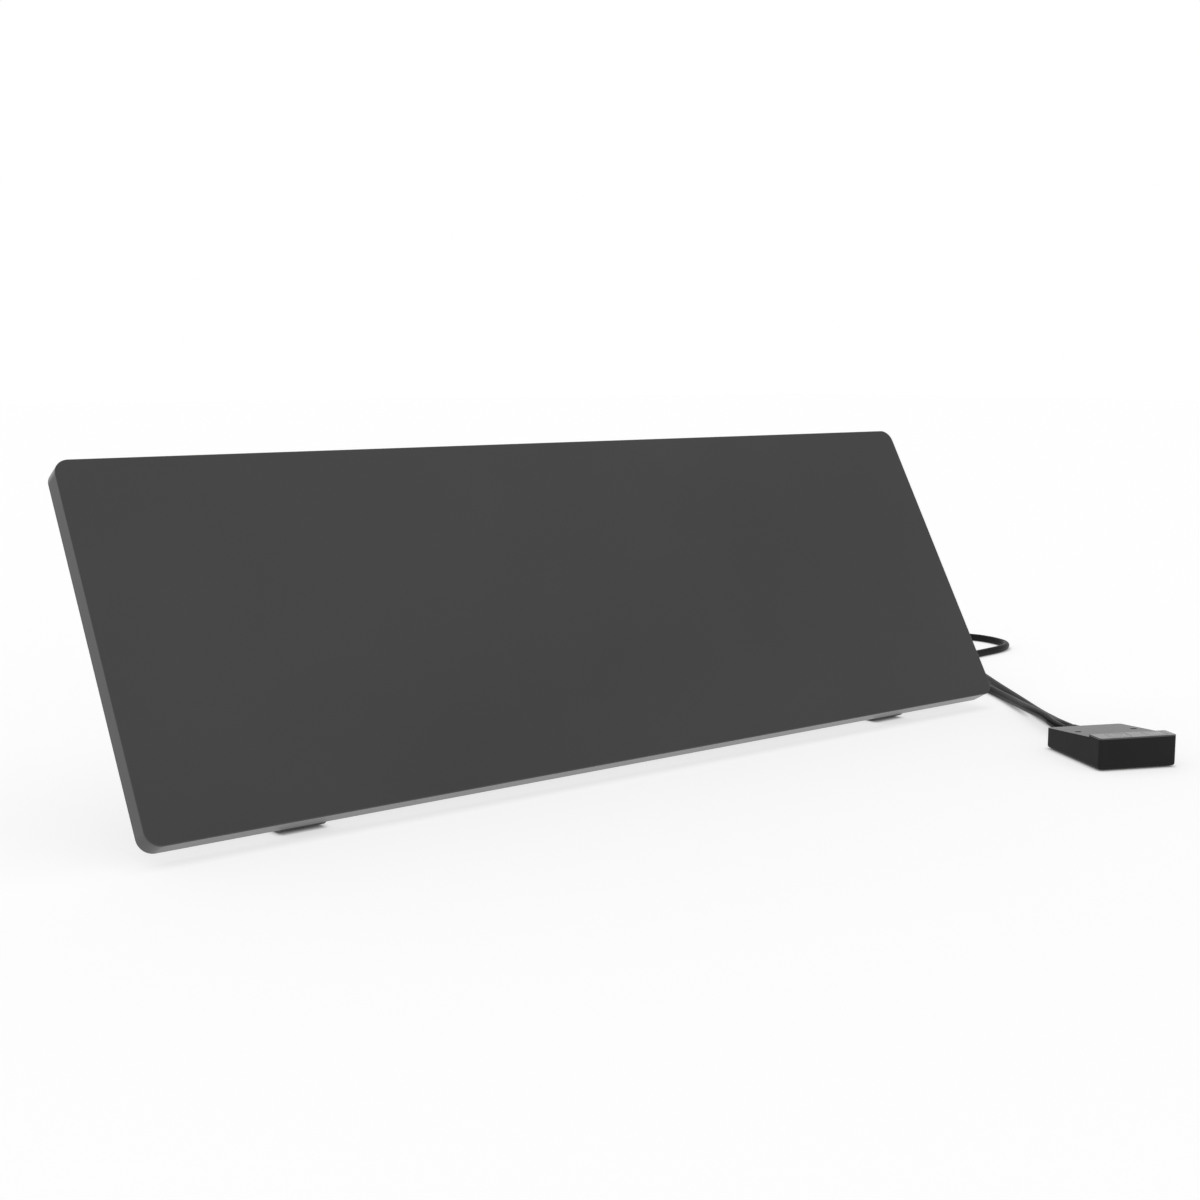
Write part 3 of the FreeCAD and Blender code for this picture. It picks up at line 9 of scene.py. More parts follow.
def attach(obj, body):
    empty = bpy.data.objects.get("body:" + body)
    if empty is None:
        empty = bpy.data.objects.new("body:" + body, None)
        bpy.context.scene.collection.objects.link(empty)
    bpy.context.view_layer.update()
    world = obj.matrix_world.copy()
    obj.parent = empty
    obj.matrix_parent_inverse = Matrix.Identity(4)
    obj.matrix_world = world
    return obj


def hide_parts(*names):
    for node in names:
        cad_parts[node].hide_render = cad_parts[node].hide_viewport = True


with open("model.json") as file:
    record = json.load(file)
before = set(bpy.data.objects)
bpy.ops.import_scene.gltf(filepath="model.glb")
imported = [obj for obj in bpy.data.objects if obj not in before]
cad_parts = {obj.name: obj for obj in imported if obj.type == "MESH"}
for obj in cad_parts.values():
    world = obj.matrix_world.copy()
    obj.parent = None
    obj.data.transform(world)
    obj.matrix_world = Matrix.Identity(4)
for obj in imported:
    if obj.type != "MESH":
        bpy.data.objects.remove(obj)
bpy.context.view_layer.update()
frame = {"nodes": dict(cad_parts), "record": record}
nodes = frame["nodes"]

MM = 0.001
MICRON = 0.000001
WHITE = (1, 1, 1, 1)

# Camera: a 50 mm lens on a 36 mm wide frame, angles in degrees
CAMERA_PLACE = (-0.88747, -1.14572, 0.34316)
CAMERA_PITCH = -8.002
CAMERA_YAW = -38.012
CAMERA_REACH = 60.0
LENS_MM = 50.0
SENSOR_MM = 36.0

# Places that the pieces here share with the CAD model, in millimetres
PANEL_LEAN = math.radians(30.0)
PANEL_Y = -82.976
PANEL_Z = 15.2
COVER_BACK = 18.0
FOOT_BACK = 21.0
LID_BACK = 41.0
COVER_SCREW_COLUMNS = (-420, -280, -140, 0, 140, 280, 420)
COVER_SCREW_ROWS = (8.6, 291.4)
COVER_SCREW_SIDES = ((-441.4, 150.0), (441.4, 150.0))
FOOT_X = 319.5
FOOT_SCREW_ROWS = (46.0, 82.0)
LID_SCREW_PLACES = ((132.5, 193.0), (207.5, 193.0))
CONTROL_PLACE = Vector((336.8, -329.3, 0.0))
CONTROL_TURN = math.radians(-24.3)
CONTROL_LENGTH = 91.3
KEY_TOP = 28.5
POWER_KEY = (-14.5, 9.4)
LEVEL_KEY = (20.5, 9.4)
WELL_PLACES = ((-27.3, 53.2, 11.6), (27.3, 53.2, 11.6))

# Cords: sizes in millimetres, whole lengths in metres
BOOT_LENGTH = 24.0
CORD_EXIT_Z = 10.0
LEAD_SPACING = 8.6
LEAD_DIAMETER = 8.2
LEAD_FLOOR = 4.2
LEAD_EXIT_RUN = 22.0
GLAND_TIP = (170.0, 27.0, 129.0)
COIL_CENTRE = Vector((405.0, 29.0, 5.4))
COIL_OUTER_R = 56.0
COIL_PITCH = 9.0
COIL_TURNS = 5
COIL_CLIMB = 0.5
COIL_START = math.radians(90.0)
COIL_ENTRY_RUN = 34.0
COIL_STEPS = 24
TAIL_LEAVE_RUN = 14.0
TAIL_BEND = Vector((24.0, 0.6, -1.6))
TAIL_ENTRY = Vector((12.0, 0.0, 0.0))
PLUG_BOOT_END = Vector((338.0, 85.0, 18.7))
CORD_ROUND_STEPS = 6
CORD_RUN_STEPS = 8
CORD_ORDER = 3


def on_panel(x, depth, height):
    """A point given on the panel, from its face's lower edge, in the object's frame."""
    y = PANEL_Y + depth * math.cos(PANEL_LEAN) + height * math.sin(PANEL_LEAN)
    z = PANEL_Z - depth * math.sin(PANEL_LEAN) + height * math.cos(PANEL_LEAN)
    return Vector((x, y, z))


def on_control(x, y, z):
    """A point given on the control box, from the middle of its front, in the object's frame."""
    return CONTROL_PLACE + Matrix.Rotation(CONTROL_TURN, 3, "Z") @ Vector((x, y, z))


def show(name, data):
    """An object at the origin for a mesh, curve, lamp or camera."""
    piece = bpy.data.objects.new(name, data)
    bpy.context.scene.collection.objects.link(piece)
    return piece


# Camera

def place_camera():
    data = bpy.data.cameras.new("camera")
    data.lens = LENS_MM
    data.sensor_width = SENSOR_MM
    data.clip_end = CAMERA_REACH
    camera = show("camera", data)
    camera.location = CAMERA_PLACE
    camera.rotation_euler = (math.radians(90 + CAMERA_PITCH), 0, math.radians(CAMERA_YAW))
    bpy.context.scene.camera = camera


place_camera()


# Materials

POLISHED_FROM = 27.4
POLISHED_ROUGHNESS = 0.05
POLISHED_SPECULAR = 1.0
RAMP_FROM = 0.3
RAMP_TO = 0.7


def grey(value):
    return (value, value, value)


def shade(colour, factor):
    return tuple(channel * factor for channel in colour)


class Wiring:
    """Small helpers to wire the nodes of one tree."""

    def __init__(self, tree):
        self.tree = tree

    def add(self, kind, **sockets):
        node = self.tree.nodes.new(kind)
        for name, value in sockets.items():
            node.inputs[name.replace("_", " ")].default_value = value
        return node

    def link(self, source, target):
        self.tree.links.new(source, target)

    def feed(self, value, socket):
        """Give a socket a number, or link another socket to it."""
        if isinstance(value, (int, float)):
            socket.default_value = value
        else:
            self.link(value, socket)

    def compute(self, operation, first, second):
        node = self.add("ShaderNodeMath")
        node.operation = operation
        self.feed(first, node.inputs[0])
        self.feed(second, node.inputs[1])
        return node.outputs["Value"]

    def spread(self, source, from_range, to_range, blend="LINEAR"):
        """A value carried over from one range to another."""
        node = self.add("ShaderNodeMapRange")
        node.interpolation_type = blend
        values = (source, *from_range, *to_range)
        for name, value in zip(("Value", "From Min", "From Max", "To Min", "To Max"), values):
            self.feed(value, node.inputs[name])
        return node.outputs["Result"]

    def part(self, vector, axis):
        """One coordinate of a vector."""
        split = self.add("ShaderNodeSeparateXYZ")
        self.link(vector, split.inputs["Vector"])
        return split.outputs[axis]


class Material(Wiring):
    """A principled material whose textures are laid in the object's space."""

    def __init__(self, name, roughness=0.5, metallic=0.0, specular=0.5):
        self.data = bpy.data.materials.new(name)
        self.data.use_nodes = True
        super().__init__(self.data.node_tree)
        self.shader = self.tree.nodes["Principled BSDF"]
        self.shader.inputs["Roughness"].default_value = roughness
        self.shader.inputs["Metallic"].default_value = metallic
        self.shader.inputs["Specular IOR Level"].default_value = specular

    def place(self, stretch=(1, 1, 1)):
        """The point on the object, with each direction stretched."""
        mapping = self.add("ShaderNodeMapping", Scale=stretch)
        self.link(self.add("ShaderNodeTexCoord").outputs["Object"], mapping.inputs["Vector"])
        return mapping.outputs["Vector"]

    def noise(self, scale, detail=3.0, stretch=(1, 1, 1)):
        texture = self.add("ShaderNodeTexNoise", Scale=scale, Detail=detail)
        self.link(self.place(stretch), texture.inputs["Vector"])
        return texture.outputs["Fac"]

    def cells(self, scale, feature="F1", output="Color"):
        texture = self.add("ShaderNodeTexVoronoi", Scale=scale)
        texture.feature = feature
        self.link(self.place(), texture.inputs["Vector"])
        return texture.outputs[output]

    def stripes(self, scale, direction):
        texture = self.add("ShaderNodeTexWave", Scale=scale)
        texture.bands_direction = direction
        self.link(self.place(), texture.inputs["Vector"])
        return texture.outputs["Fac"]

    def ramp(self, source, low, high, start=RAMP_FROM, end=RAMP_TO):
        """Spread a grey texture between two colours."""
        ramp = self.add("ShaderNodeValToRGB")
        ramp.color_ramp.elements[0].position = start
        ramp.color_ramp.elements[1].position = end
        ramp.color_ramp.elements[0].color = (*low, 1)
        ramp.color_ramp.elements[1].color = (*high, 1)
        self.link(source, ramp.inputs["Fac"])
        return ramp.outputs["Color"]

    def colour(self, source, low, high, start=RAMP_FROM, end=RAMP_TO):
        """Colour between two tones."""
        self.link(self.ramp(source, low, high, start, end), self.shader.inputs["Base Color"])

    def tone(self, source, colour, darkest, lightest, start=RAMP_FROM, end=RAMP_TO):
        """One colour, made a little darker or lighter."""
        self.colour(source, shade(colour, darkest), shade(colour, lightest), start, end)

    def rough(self, source, middle, less, more):
        """Roughness that varies about a middle."""
        values = self.ramp(source, grey(middle - less), grey(middle + more))
        self.link(values, self.shader.inputs["Roughness"])

    def bump(self, source, strength, depth):
        bump = self.add("ShaderNodeBump", Strength=strength, Distance=depth)
        self.link(source, bump.inputs["Height"])
        self.link(bump.outputs["Normal"], self.shader.inputs["Normal"])


def powder_coat(name, colour, roughness, specular=0.5):
    """Baked powder paint: fine orange peel and a slight change of tone."""
    material = Material(name, specular=specular)
    material.tone(material.noise(scale=7.0), colour, darkest=0.97, lightest=1.03)
    peel = material.noise(scale=1600.0, detail=2.0)
    material.rough(peel, roughness, less=0.03, more=0.03)
    material.bump(peel, strength=0.12, depth=40 * MICRON)
    return material.data


def eroded_grain(material, colour):
    """The fine grain of a spark eroded mould; returns its texture."""
    material.tone(material.noise(scale=40.0), colour, darkest=0.93, lightest=1.07)
    grain = material.noise(scale=2200.0, detail=4.0)
    material.bump(grain, strength=0.2, depth=30 * MICRON)
    return grain


def moulded_plastic(name, colour, roughness, specular=0.5):
    """Moulding with a fine eroded grain."""
    material = Material(name, specular=specular)
    material.rough(eroded_grain(material, colour), roughness, less=0.04, more=0.04)
    return material.data


def polished_top(name, colour, roughness, specular):
    """Moulding that is polished on the raised bar."""
    material = Material(name)
    eroded_grain(material, colour)
    above = material.compute("GREATER_THAN", material.part(material.place(), "Z"), POLISHED_FROM * MM)
    gloss = material.spread(above, (0.0, 1.0), (roughness, POLISHED_ROUGHNESS))
    shine = material.spread(above, (0.0, 1.0), (specular, POLISHED_SPECULAR))
    material.link(gloss, material.shader.inputs["Roughness"])
    material.link(shine, material.shader.inputs["Specular IOR Level"])
    return material.data


def soft_rubber(name, colour, roughness):
    """Dull rubber with a dusty bloom."""
    material = Material(name, specular=0.35)
    material.tone(material.noise(scale=90.0, detail=5.0), colour, darkest=0.8, lightest=1.25)
    skin = material.noise(scale=1300.0)
    material.rough(skin, roughness, less=0.06, more=0.06)
    material.bump(skin, strength=0.35, depth=60 * MICRON)
    return material.data


def cord_sheath(name, colour, roughness, specular=0.5):
    """Smooth extruded sheath with faint draw marks."""
    material = Material(name, specular=specular)
    material.tone(material.noise(scale=60.0), colour, darkest=0.9, lightest=1.1)
    skin = material.noise(scale=900.0)
    material.rough(skin, roughness, less=0.04, more=0.06)
    material.bump(skin, strength=0.15, depth=50 * MICRON)
    return material.data


def zinc_sheet(name, colour, roughness):
    """Galvanised sheet with its crystal pattern."""
    material = Material(name, metallic=1.0)
    spangle = material.cells(scale=140.0)
    material.tone(spangle, colour, darkest=0.85, lightest=1.1, start=0.0, end=1.0)
    material.rough(spangle, roughness, less=0.06, more=0.1)
    material.bump(material.noise(scale=700.0), strength=0.1, depth=30 * MICRON)
    return material.data


def drawn_metal(name, colour, roughness, stretch=(1, 1, 12)):
    """Metal with fine marks along its drawing or turning."""
    material = Material(name, metallic=1.0)
    marks = material.noise(scale=900.0, detail=4.0, stretch=stretch)
    material.tone(marks, colour, darkest=0.9, lightest=1.06)
    material.rough(marks, roughness, less=0.05, more=0.08)
    material.bump(marks, strength=0.08, depth=20 * MICRON)
    return material.data


def carbon_film(name):
    """Printed carbon bands on a thin film."""
    material = Material(name, roughness=0.35)
    bands = material.stripes(scale=22.0, direction="X")
    material.colour(bands, (0.012, 0.012, 0.013), (0.05, 0.045, 0.04), start=0.45, end=0.55)
    material.bump(bands, strength=0.1, depth=50 * MICRON)
    return material.data


def fibre_board(name):
    """Pressed mineral fibre."""
    material = Material(name, roughness=0.9, specular=0.1)
    fibres = material.noise(scale=500.0, detail=6.0, stretch=(1, 6, 1))
    material.colour(fibres, (0.42, 0.39, 0.3), (0.7, 0.66, 0.55))
    material.bump(fibres, strength=0.6, depth=300 * MICRON)
    return material.data


def board_laminate(name):
    """Solder mask over copper lands."""
    material = Material(name, roughness=0.32)
    lands = material.cells(scale=260.0, feature="DISTANCE_TO_EDGE", output="Distance")
    material.colour(lands, (0.01, 0.07, 0.03), (0.02, 0.14, 0.06), start=0.06, end=0.1)
    material.bump(lands, strength=0.2, depth=40 * MICRON)
    return material.data


def strap_weave(name):
    """Woven strap: two crossing sets of threads."""
    material = Material(name, roughness=0.85, specular=0.15)
    across = material.stripes(scale=450.0, direction="DIAGONAL")
    along = material.stripes(scale=450.0, direction="Z")
    weave = material.compute("MULTIPLY", across, along)
    material.colour(weave, (0.008, 0.008, 0.009), (0.05, 0.05, 0.055), start=0.1, end=0.6)
    material.bump(weave, strength=0.6, depth=200 * MICRON)
    return material.data


def mark_ink(name):
    """Pad printed pale ink."""
    material = Material(name, roughness=0.6, specular=0.1)
    ink = material.noise(scale=1500.0, detail=2.0)
    material.colour(ink, grey(0.6), grey(0.7))
    material.bump(ink, strength=0.1, depth=20 * MICRON)
    return material.data


RECIPES = {
    "shell_paint": (powder_coat, dict(colour=grey(0.076), roughness=0.21, specular=0.16)),
    "cover_paint": (powder_coat, dict(colour=(0.045, 0.045, 0.046), roughness=0.45)),
    "foot_paint": (powder_coat, dict(colour=grey(0.035), roughness=0.42)),
    "zinc_steel": (zinc_sheet, dict(colour=(0.55, 0.56, 0.57), roughness=0.4)),
    "screw_steel": (drawn_metal, dict(colour=(0.12, 0.12, 0.125), roughness=0.35)),
    "heating_film": (carbon_film, {}),
    "copper": (drawn_metal, dict(colour=(0.72, 0.36, 0.2), roughness=0.3, stretch=(0.1, 1, 1))),
    "insulation": (fibre_board, {}),
    "limiter_metal": (drawn_metal, dict(colour=(0.62, 0.61, 0.58), roughness=0.28)),
    "box_plastic": (moulded_plastic, dict(colour=(0.022, 0.022, 0.023), roughness=0.48)),
    "terminal_plastic": (moulded_plastic, dict(colour=(0.7, 0.68, 0.62), roughness=0.4)),
    "wire_sheath": (cord_sheath, dict(colour=(0.45, 0.43, 0.38), roughness=0.42)),
    "pad_rubber": (soft_rubber, dict(colour=grey(0.018), roughness=0.75)),
    "boot_rubber": (soft_rubber, dict(colour=grey(0.012), roughness=0.55)),
    "cord_sheath": (cord_sheath, dict(colour=grey(0.015), roughness=0.34, specular=0.05)),
    "control_plastic": (polished_top, dict(colour=grey(0.021), roughness=0.23, specular=0.045)),
    "key_plastic": (moulded_plastic, dict(colour=grey(0.018), roughness=0.07, specular=1.0)),
    "board_laminate": (board_laminate, {}),
    "part_plastic": (moulded_plastic, dict(colour=(0.02, 0.025, 0.05), roughness=0.35)),
    "switch_plastic": (moulded_plastic, dict(colour=grey(0.03), roughness=0.4)),
    "tie_fabric": (strap_weave, {}),
    "plug_plastic": (moulded_plastic, dict(colour=grey(0.012), roughness=0.45)),
    "pin_metal": (drawn_metal, dict(colour=(0.75, 0.72, 0.66), roughness=0.22, stretch=(12, 1, 1))),
}
FINISHES = {name: make(name, **values) for name, (make, values) in RECIPES.items()}
MARK_INK = mark_ink("mark_ink")


def paint_nodes():
    """Every CAD piece gets the finish that its slot in the record names."""
    slots = {entry["node"]: entry["material_slot"] for entry in frame["record"]["subparts"]}
    for name, piece in nodes.items():
        piece.data.materials.clear()
        piece.data.materials.append(FINISHES[slots[name]])


paint_nodes()


# Cords

HEATER_ROUTE = (
    (171, -13, 62),
    (174, -8, 41),
    (180, 5, 24),
    (188, 23, 11.5),
    (197, 43, 5.6),
    (208, 67, LEAD_FLOOR),
    (227, 98, LEAD_FLOOR),
    (260, 124, LEAD_FLOOR),
    (310, 143, LEAD_FLOOR),
    (375, 159, LEAD_FLOOR),
    (450, 175, LEAD_FLOOR),
    (530, 198, LEAD_FLOOR),
    (610, 223, LEAD_FLOOR),
    (672, 238, LEAD_FLOOR),
    (716, 237, LEAD_FLOOR),
    (748, 223, LEAD_FLOOR),
    (764, 197, LEAD_FLOOR),
    (763, 165, LEAD_FLOOR),
    (751, 137, LEAD_FLOOR),
    (723, 123, LEAD_FLOOR),
    (690, 119, LEAD_FLOOR),
    (656, 116, LEAD_FLOOR),
    (622, 98, LEAD_FLOOR),
    (592, 66, LEAD_FLOOR),
    (565, 27, LEAD_FLOOR),
    (521, -34.6, LEAD_FLOOR),
    (483.5, -90.2, LEAD_FLOOR),
    (445, -144.4, 4.5),
    (420, -179.5, 6.4),
)
MAINS_ROUTE = (
    (408, -178.6, 11.8),
    (435.5, -138, 9),
    (466.5, -96.6, 5.8),
    (493.5, -56, LEAD_FLOOR),
    (508.5, -28, LEAD_FLOOR),
    (516, 5, LEAD_FLOOR),
    (512, 38, LEAD_FLOOR),
    (494, 66, LEAD_FLOOR),
)


def coil_point(turn):
    """The coil's centreline: in on the lower layer, up in half a turn, out on the upper."""
    half = COIL_CLIMB / 2
    inner = COIL_OUTER_R - COIL_PITCH * (COIL_TURNS / 2 - half)
    from_middle = turn - COIL_TURNS / 2
    distance = abs(from_middle)
    if distance > half:
        radius = inner + COIL_PITCH * (distance - half)
    else:
        radius = inner - COIL_PITCH * (half ** 2 - distance ** 2) / (2 * half)
    climb = max(-1.0, min(1.0, from_middle / half))
    rise = COIL_PITCH * (0.5 + 0.5 * math.sin(climb * math.pi / 2))
    angle = COIL_START + 2 * math.pi * turn
    return COIL_CENTRE + Vector((radius * math.cos(angle), radius * math.sin(angle), rise))


def control_exit(side):
    """The tip of the control box's boot where a lead leaves it, and a point straight behind."""
    x = side * LEAD_SPACING / 2
    tip = CONTROL_LENGTH + BOOT_LENGTH
    return on_control(x, tip, CORD_EXIT_Z), on_control(x, tip + LEAD_EXIT_RUN, CORD_EXIT_Z)


def heater_lead_points():
    """From the panel's strain relief down to the floor, round behind the panel and to the control box."""
    start = on_panel(*GLAND_TIP)
    down = Vector((0, -math.sin(PANEL_LEAN), -math.cos(PANEL_LEAN)))
    end, before = control_exit(1)
    return [start, start + down * LEAD_EXIT_RUN] + [Vector(p) for p in HEATER_ROUTE] + [before, end]


def mains_cord_points():
    """From the control box to the coil, through its turns and on to the plug."""
    start, after = control_exit(-1)
    turns = [coil_point(i / COIL_STEPS) for i in range(COIL_TURNS * COIL_STEPS + 1)]
    into = (turns[1] - turns[0]).normalized()
    out = (turns[-1] - turns[-2]).normalized()
    entry = [turns[0] - into * (LEAD_DIAMETER + COIL_ENTRY_RUN), turns[0] - into * LEAD_DIAMETER]
    leave = turns[-1] + out * LEAD_DIAMETER
    end = PLUG_BOOT_END
    tail = [leave, leave + out * TAIL_LEAVE_RUN, end + TAIL_BEND, end + TAIL_ENTRY, end]
    return [start, after] + [Vector(p) for p in MAINS_ROUTE] + entry + turns + tail


def make_cord(name, points):
    """A round cord along its route's own points."""
    data = bpy.data.curves.new(name, "CURVE")
    data.dimensions = "3D"
    data.bevel_depth = LEAD_DIAMETER / 2 * MM
    data.bevel_resolution = CORD_ROUND_STEPS
    data.resolution_u = CORD_RUN_STEPS
    data.use_fill_caps = True
    spline = data.splines.new("NURBS")
    spline.points.add(len(points) - 1)
    for point, place in zip(spline.points, points):
        point.co = (*(place * MM), 1.0)
    spline.order_u = CORD_ORDER
    spline.use_endpoint_u = True
    data.materials.append(FINISHES["cord_sheath"])
    piece = show(name, data)
    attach(piece, "heater")
    return piece


# Screws: sizes in millimetres, the head's form and recess as shares of its radius and height

COVER_SCREW = dict(radius=1.45, length=3.4, head_r=2.8, head_height=1.7)
FOOT_SCREW = dict(radius=1.95, length=8.0, head_r=3.9, head_height=2.2)
LID_SCREW = dict(radius=1.2, length=14.0, head_r=2.9, head_height=1.9)
CONTROL_SCREW = dict(radius=1.4, length=7.5, head_r=2.6, head_height=2.2)
HEAD_FORM = ((1.0, 0.0), (1.0, 0.35), (0.95, 0.62), (0.84, 0.83), (0.68, 0.96), (0.60, 1.0))
RECESS_REACH = 0.5
RECESS_HALF_WIDTH = 0.11
RECESS_TAPER = 0.7
RECESS_FLOOR = 0.35
THREAD_PITCH = 0.6
THREAD_ROOT = 0.86
LEAST_TURNS = 3
SCREW_SIDES = 36
PANEL_TILT = (-math.pi / 2 - PANEL_LEAN, 0.0, 0.0)
UPRIGHT = (0.0, 0.0, 0.0)
QUARTER_TURN = math.pi / 2
SCATTER_INPUTS = {
    "Points": "Geometry",
    "Piece": "Object",
    "Tilt": "Rotation",
    "Seed": "Int",
    "Finish": "Material",
}


def to_mesh(bm, name):
    mesh = bpy.data.meshes.new(name)
    bm.to_mesh(mesh)
    bm.free()
    return mesh


def pairs_round(loop):
    """Each point of a closed loop with the next one."""
    return list(zip(loop, loop[1:] + loop[:1]))


def ring(bm, radius, z):
    angles = [2 * math.pi * i / SCREW_SIDES for i in range(SCREW_SIDES)]
    return [bm.verts.new((radius * math.cos(a), radius * math.sin(a), z)) for a in angles]


def join_rings(bm, low, high):
    for (low_from, low_to), (high_from, high_to) in zip(pairs_round(low), pairs_round(high)):
        bm.faces.new((low_from, low_to, high_to, high_from))


def thread_rings(bm, radius, length):
    """Rings of a shank from its tip up to the seat, by turns on the crest and the root of its thread."""
    steps = 2 * max(LEAST_TURNS, int(length / THREAD_PITCH))
    levels = []
    for i in range(steps + 1):
        depth = length * (1 - i / steps)
        levels.append(ring(bm, radius * (THREAD_ROOT if i % 2 else 1.0), -depth))
    return levels


def cross_outline(reach, half_width):
    """Twelve corners of a cross, anticlockwise."""
    quarter = [(reach, -half_width), (reach, half_width), (half_width, half_width)]
    corners = []
    for turn in range(4):
        c = round(math.cos(turn * QUARTER_TURN))
        s = round(math.sin(turn * QUARTER_TURN))
        corners += [(x * c - y * s, x * s + y * c) for x, y in quarter]
    return corners


def cut_recess(bm, top_ring, head_r, head_height):
    """Close a head's top round a cross recess that tapers to its floor."""
    corners = cross_outline(head_r * RECESS_REACH, head_r * RECESS_HALF_WIDTH)
    floor_z = head_height * RECESS_FLOOR
    rim = [bm.verts.new((x, y, head_height)) for x, y in corners]
    floor = [bm.verts.new((x * RECESS_TAPER, y * RECESS_TAPER, floor_z)) for x, y in corners]
    join_rings(bm, rim, floor)
    bm.faces.new(floor)
    edges = [bm.edges.get(pair) or bm.edges.new(pair) for pair in pairs_round(top_ring) + pairs_round(rim)]
    bmesh.ops.triangle_fill(bm, edges=edges, use_beauty=True)


def screw_mesh(name, radius, length, head_r, head_height):
    """A pan head screw with a cross recess and a threaded shank, its seat at the origin and its head up."""
    bm = bmesh.new()
    levels = thread_rings(bm, radius, length)
    levels += [ring(bm, head_r * r, head_height * z) for r, z in HEAD_FORM]
    for low, high in zip(levels, levels[1:]):
        join_rings(bm, low, high)
    bm.faces.new(reversed(levels[0]))
    cut_recess(bm, levels[-1], head_r, head_height)
    bmesh.ops.recalc_face_normals(bm, faces=bm.faces)
    return to_mesh(bm, name)


def scatter_group():
    """Node group: one piece on every point, tilted alike and each turned about its own axis."""
    group = bpy.data.node_groups.new("piece_on_points", "GeometryNodeTree")
    face = group.interface
    sockets = {}
    for name, kind in SCATTER_INPUTS.items():
        sockets[name] = face.new_socket(name, in_out="INPUT", socket_type="NodeSocket" + kind).identifier
    face.new_socket("Pieces", in_out="OUTPUT", socket_type="NodeSocketGeometry")
    start = group.nodes.new("NodeGroupInput")
    end = group.nodes.new("NodeGroupOutput")
    source = group.nodes.new("GeometryNodeObjectInfo")
    place = group.nodes.new("GeometryNodeInstanceOnPoints")
    turn = group.nodes.new("FunctionNodeRandomValue")
    turn.inputs["Max"].default_value = QUARTER_TURN
    about = group.nodes.new("ShaderNodeCombineXYZ")
    spin = group.nodes.new("GeometryNodeRotateInstances")
    real = group.nodes.new("GeometryNodeRealizeInstances")
    finish = group.nodes.new("GeometryNodeSetMaterial")
    # The random node's second output is its plain number
    links = (
        (start.outputs["Points"], place.inputs["Points"]),
        (start.outputs["Piece"], source.inputs["Object"]),
        (source.outputs["Geometry"], place.inputs["Instance"]),
        (start.outputs["Tilt"], place.inputs["Rotation"]),
        (start.outputs["Seed"], turn.inputs["Seed"]),
        (turn.outputs[1], about.inputs["Z"]),
        (about.outputs["Vector"], spin.inputs["Rotation"]),
        (place.outputs["Instances"], spin.inputs["Instances"]),
        (spin.outputs["Instances"], real.inputs["Geometry"]),
        (real.outputs["Geometry"], finish.inputs["Geometry"]),
        (start.outputs["Finish"], finish.inputs["Material"]),
        (finish.outputs["Geometry"], end.inputs["Pieces"]),
    )
    for output, target in links:
        group.links.new(output, target)
    return group, sockets


SCATTER, SCATTER_SOCKETS = scatter_group()


def scatter(name, points, mesh, tilt, seed, finish):
    """Real copies of a mesh on points in millimetres, made into one mesh."""
    carrier = bpy.data.meshes.new(name + "_points")
    carrier.from_pydata([tuple(point * MM) for point in points], [], [])
    holder = show(name + "_points", carrier)
    mesh.transform(Matrix.Scale(MM, 4))
    pattern = show(name + "_pattern", mesh)
    modifier = holder.modifiers.new("scatter", "NODES")
    modifier.node_group = SCATTER
    for socket, value in (("Piece", pattern), ("Tilt", tilt), ("Seed", seed), ("Finish", finish)):
        modifier[SCATTER_SOCKETS[socket]] = value
    bpy.context.view_layer.update()
    graph = bpy.context.evaluated_depsgraph_get()
    copies = bpy.data.meshes.new_from_object(holder.evaluated_get(graph), depsgraph=graph)
    copies.name = name
    holder.modifiers.clear()
    bpy.data.objects.remove(holder)
    bpy.data.objects.remove(pattern)
    return show(name, copies)


def make_screws(node, points, tilt, seed, sizes):
    """Screws with cross recesses that stand for one CAD node."""
    one = screw_mesh(node + "_one", **sizes)
    piece = scatter(node + "_crossed", points, one, tilt, seed, FINISHES["screw_steel"])
    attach(piece, "heater")
    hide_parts(node)
    return piece


def make_panel_screws(node, places, depth, seed, sizes):
    """Screws in the panel's back, at a depth from its face."""
    points = [on_panel(x, depth, height) for x, height in places]
    make_screws(node, points, PANEL_TILT, seed, sizes)


def make_all_screws():
    """All screws that show; returns those of the control box."""
    cover_places = [(x, z) for x in COVER_SCREW_COLUMNS for z in COVER_SCREW_ROWS] + list(COVER_SCREW_SIDES)
    foot_places = [(side * FOOT_X, z) for side in (-1, 1) for z in FOOT_SCREW_ROWS]
    well_points = [on_control(*place) for place in WELL_PLACES]
    make_panel_screws("cover_screws", cover_places, COVER_BACK, seed=1, sizes=COVER_SCREW)
    make_panel_screws("foot_screws", foot_places, FOOT_BACK, seed=2, sizes=FOOT_SCREW)
    make_panel_screws("lid_screws", LID_SCREW_PLACES, LID_BACK, seed=3, sizes=LID_SCREW)
    return make_screws("control_screws", well_points, UPRIGHT, seed=4, sizes=CONTROL_SCREW)


control_screws = make_all_screws()


# Marks on the keys, in millimetres

MARK_LIFT = 0.02
MARK_THICK = 0.03
MARK_SHIFT = 0.4
RING_R = 6.1
RING_WIDTH = 1.4
RING_OPEN = math.radians(34.0)
RING_STEPS = 40
STROKE_FROM = 0.15 * RING_R
BAR_WIDTH = 2.6
BAR_PITCH = 4.4
BAR_HEIGHTS = (4.4, 7.8, 11.2)


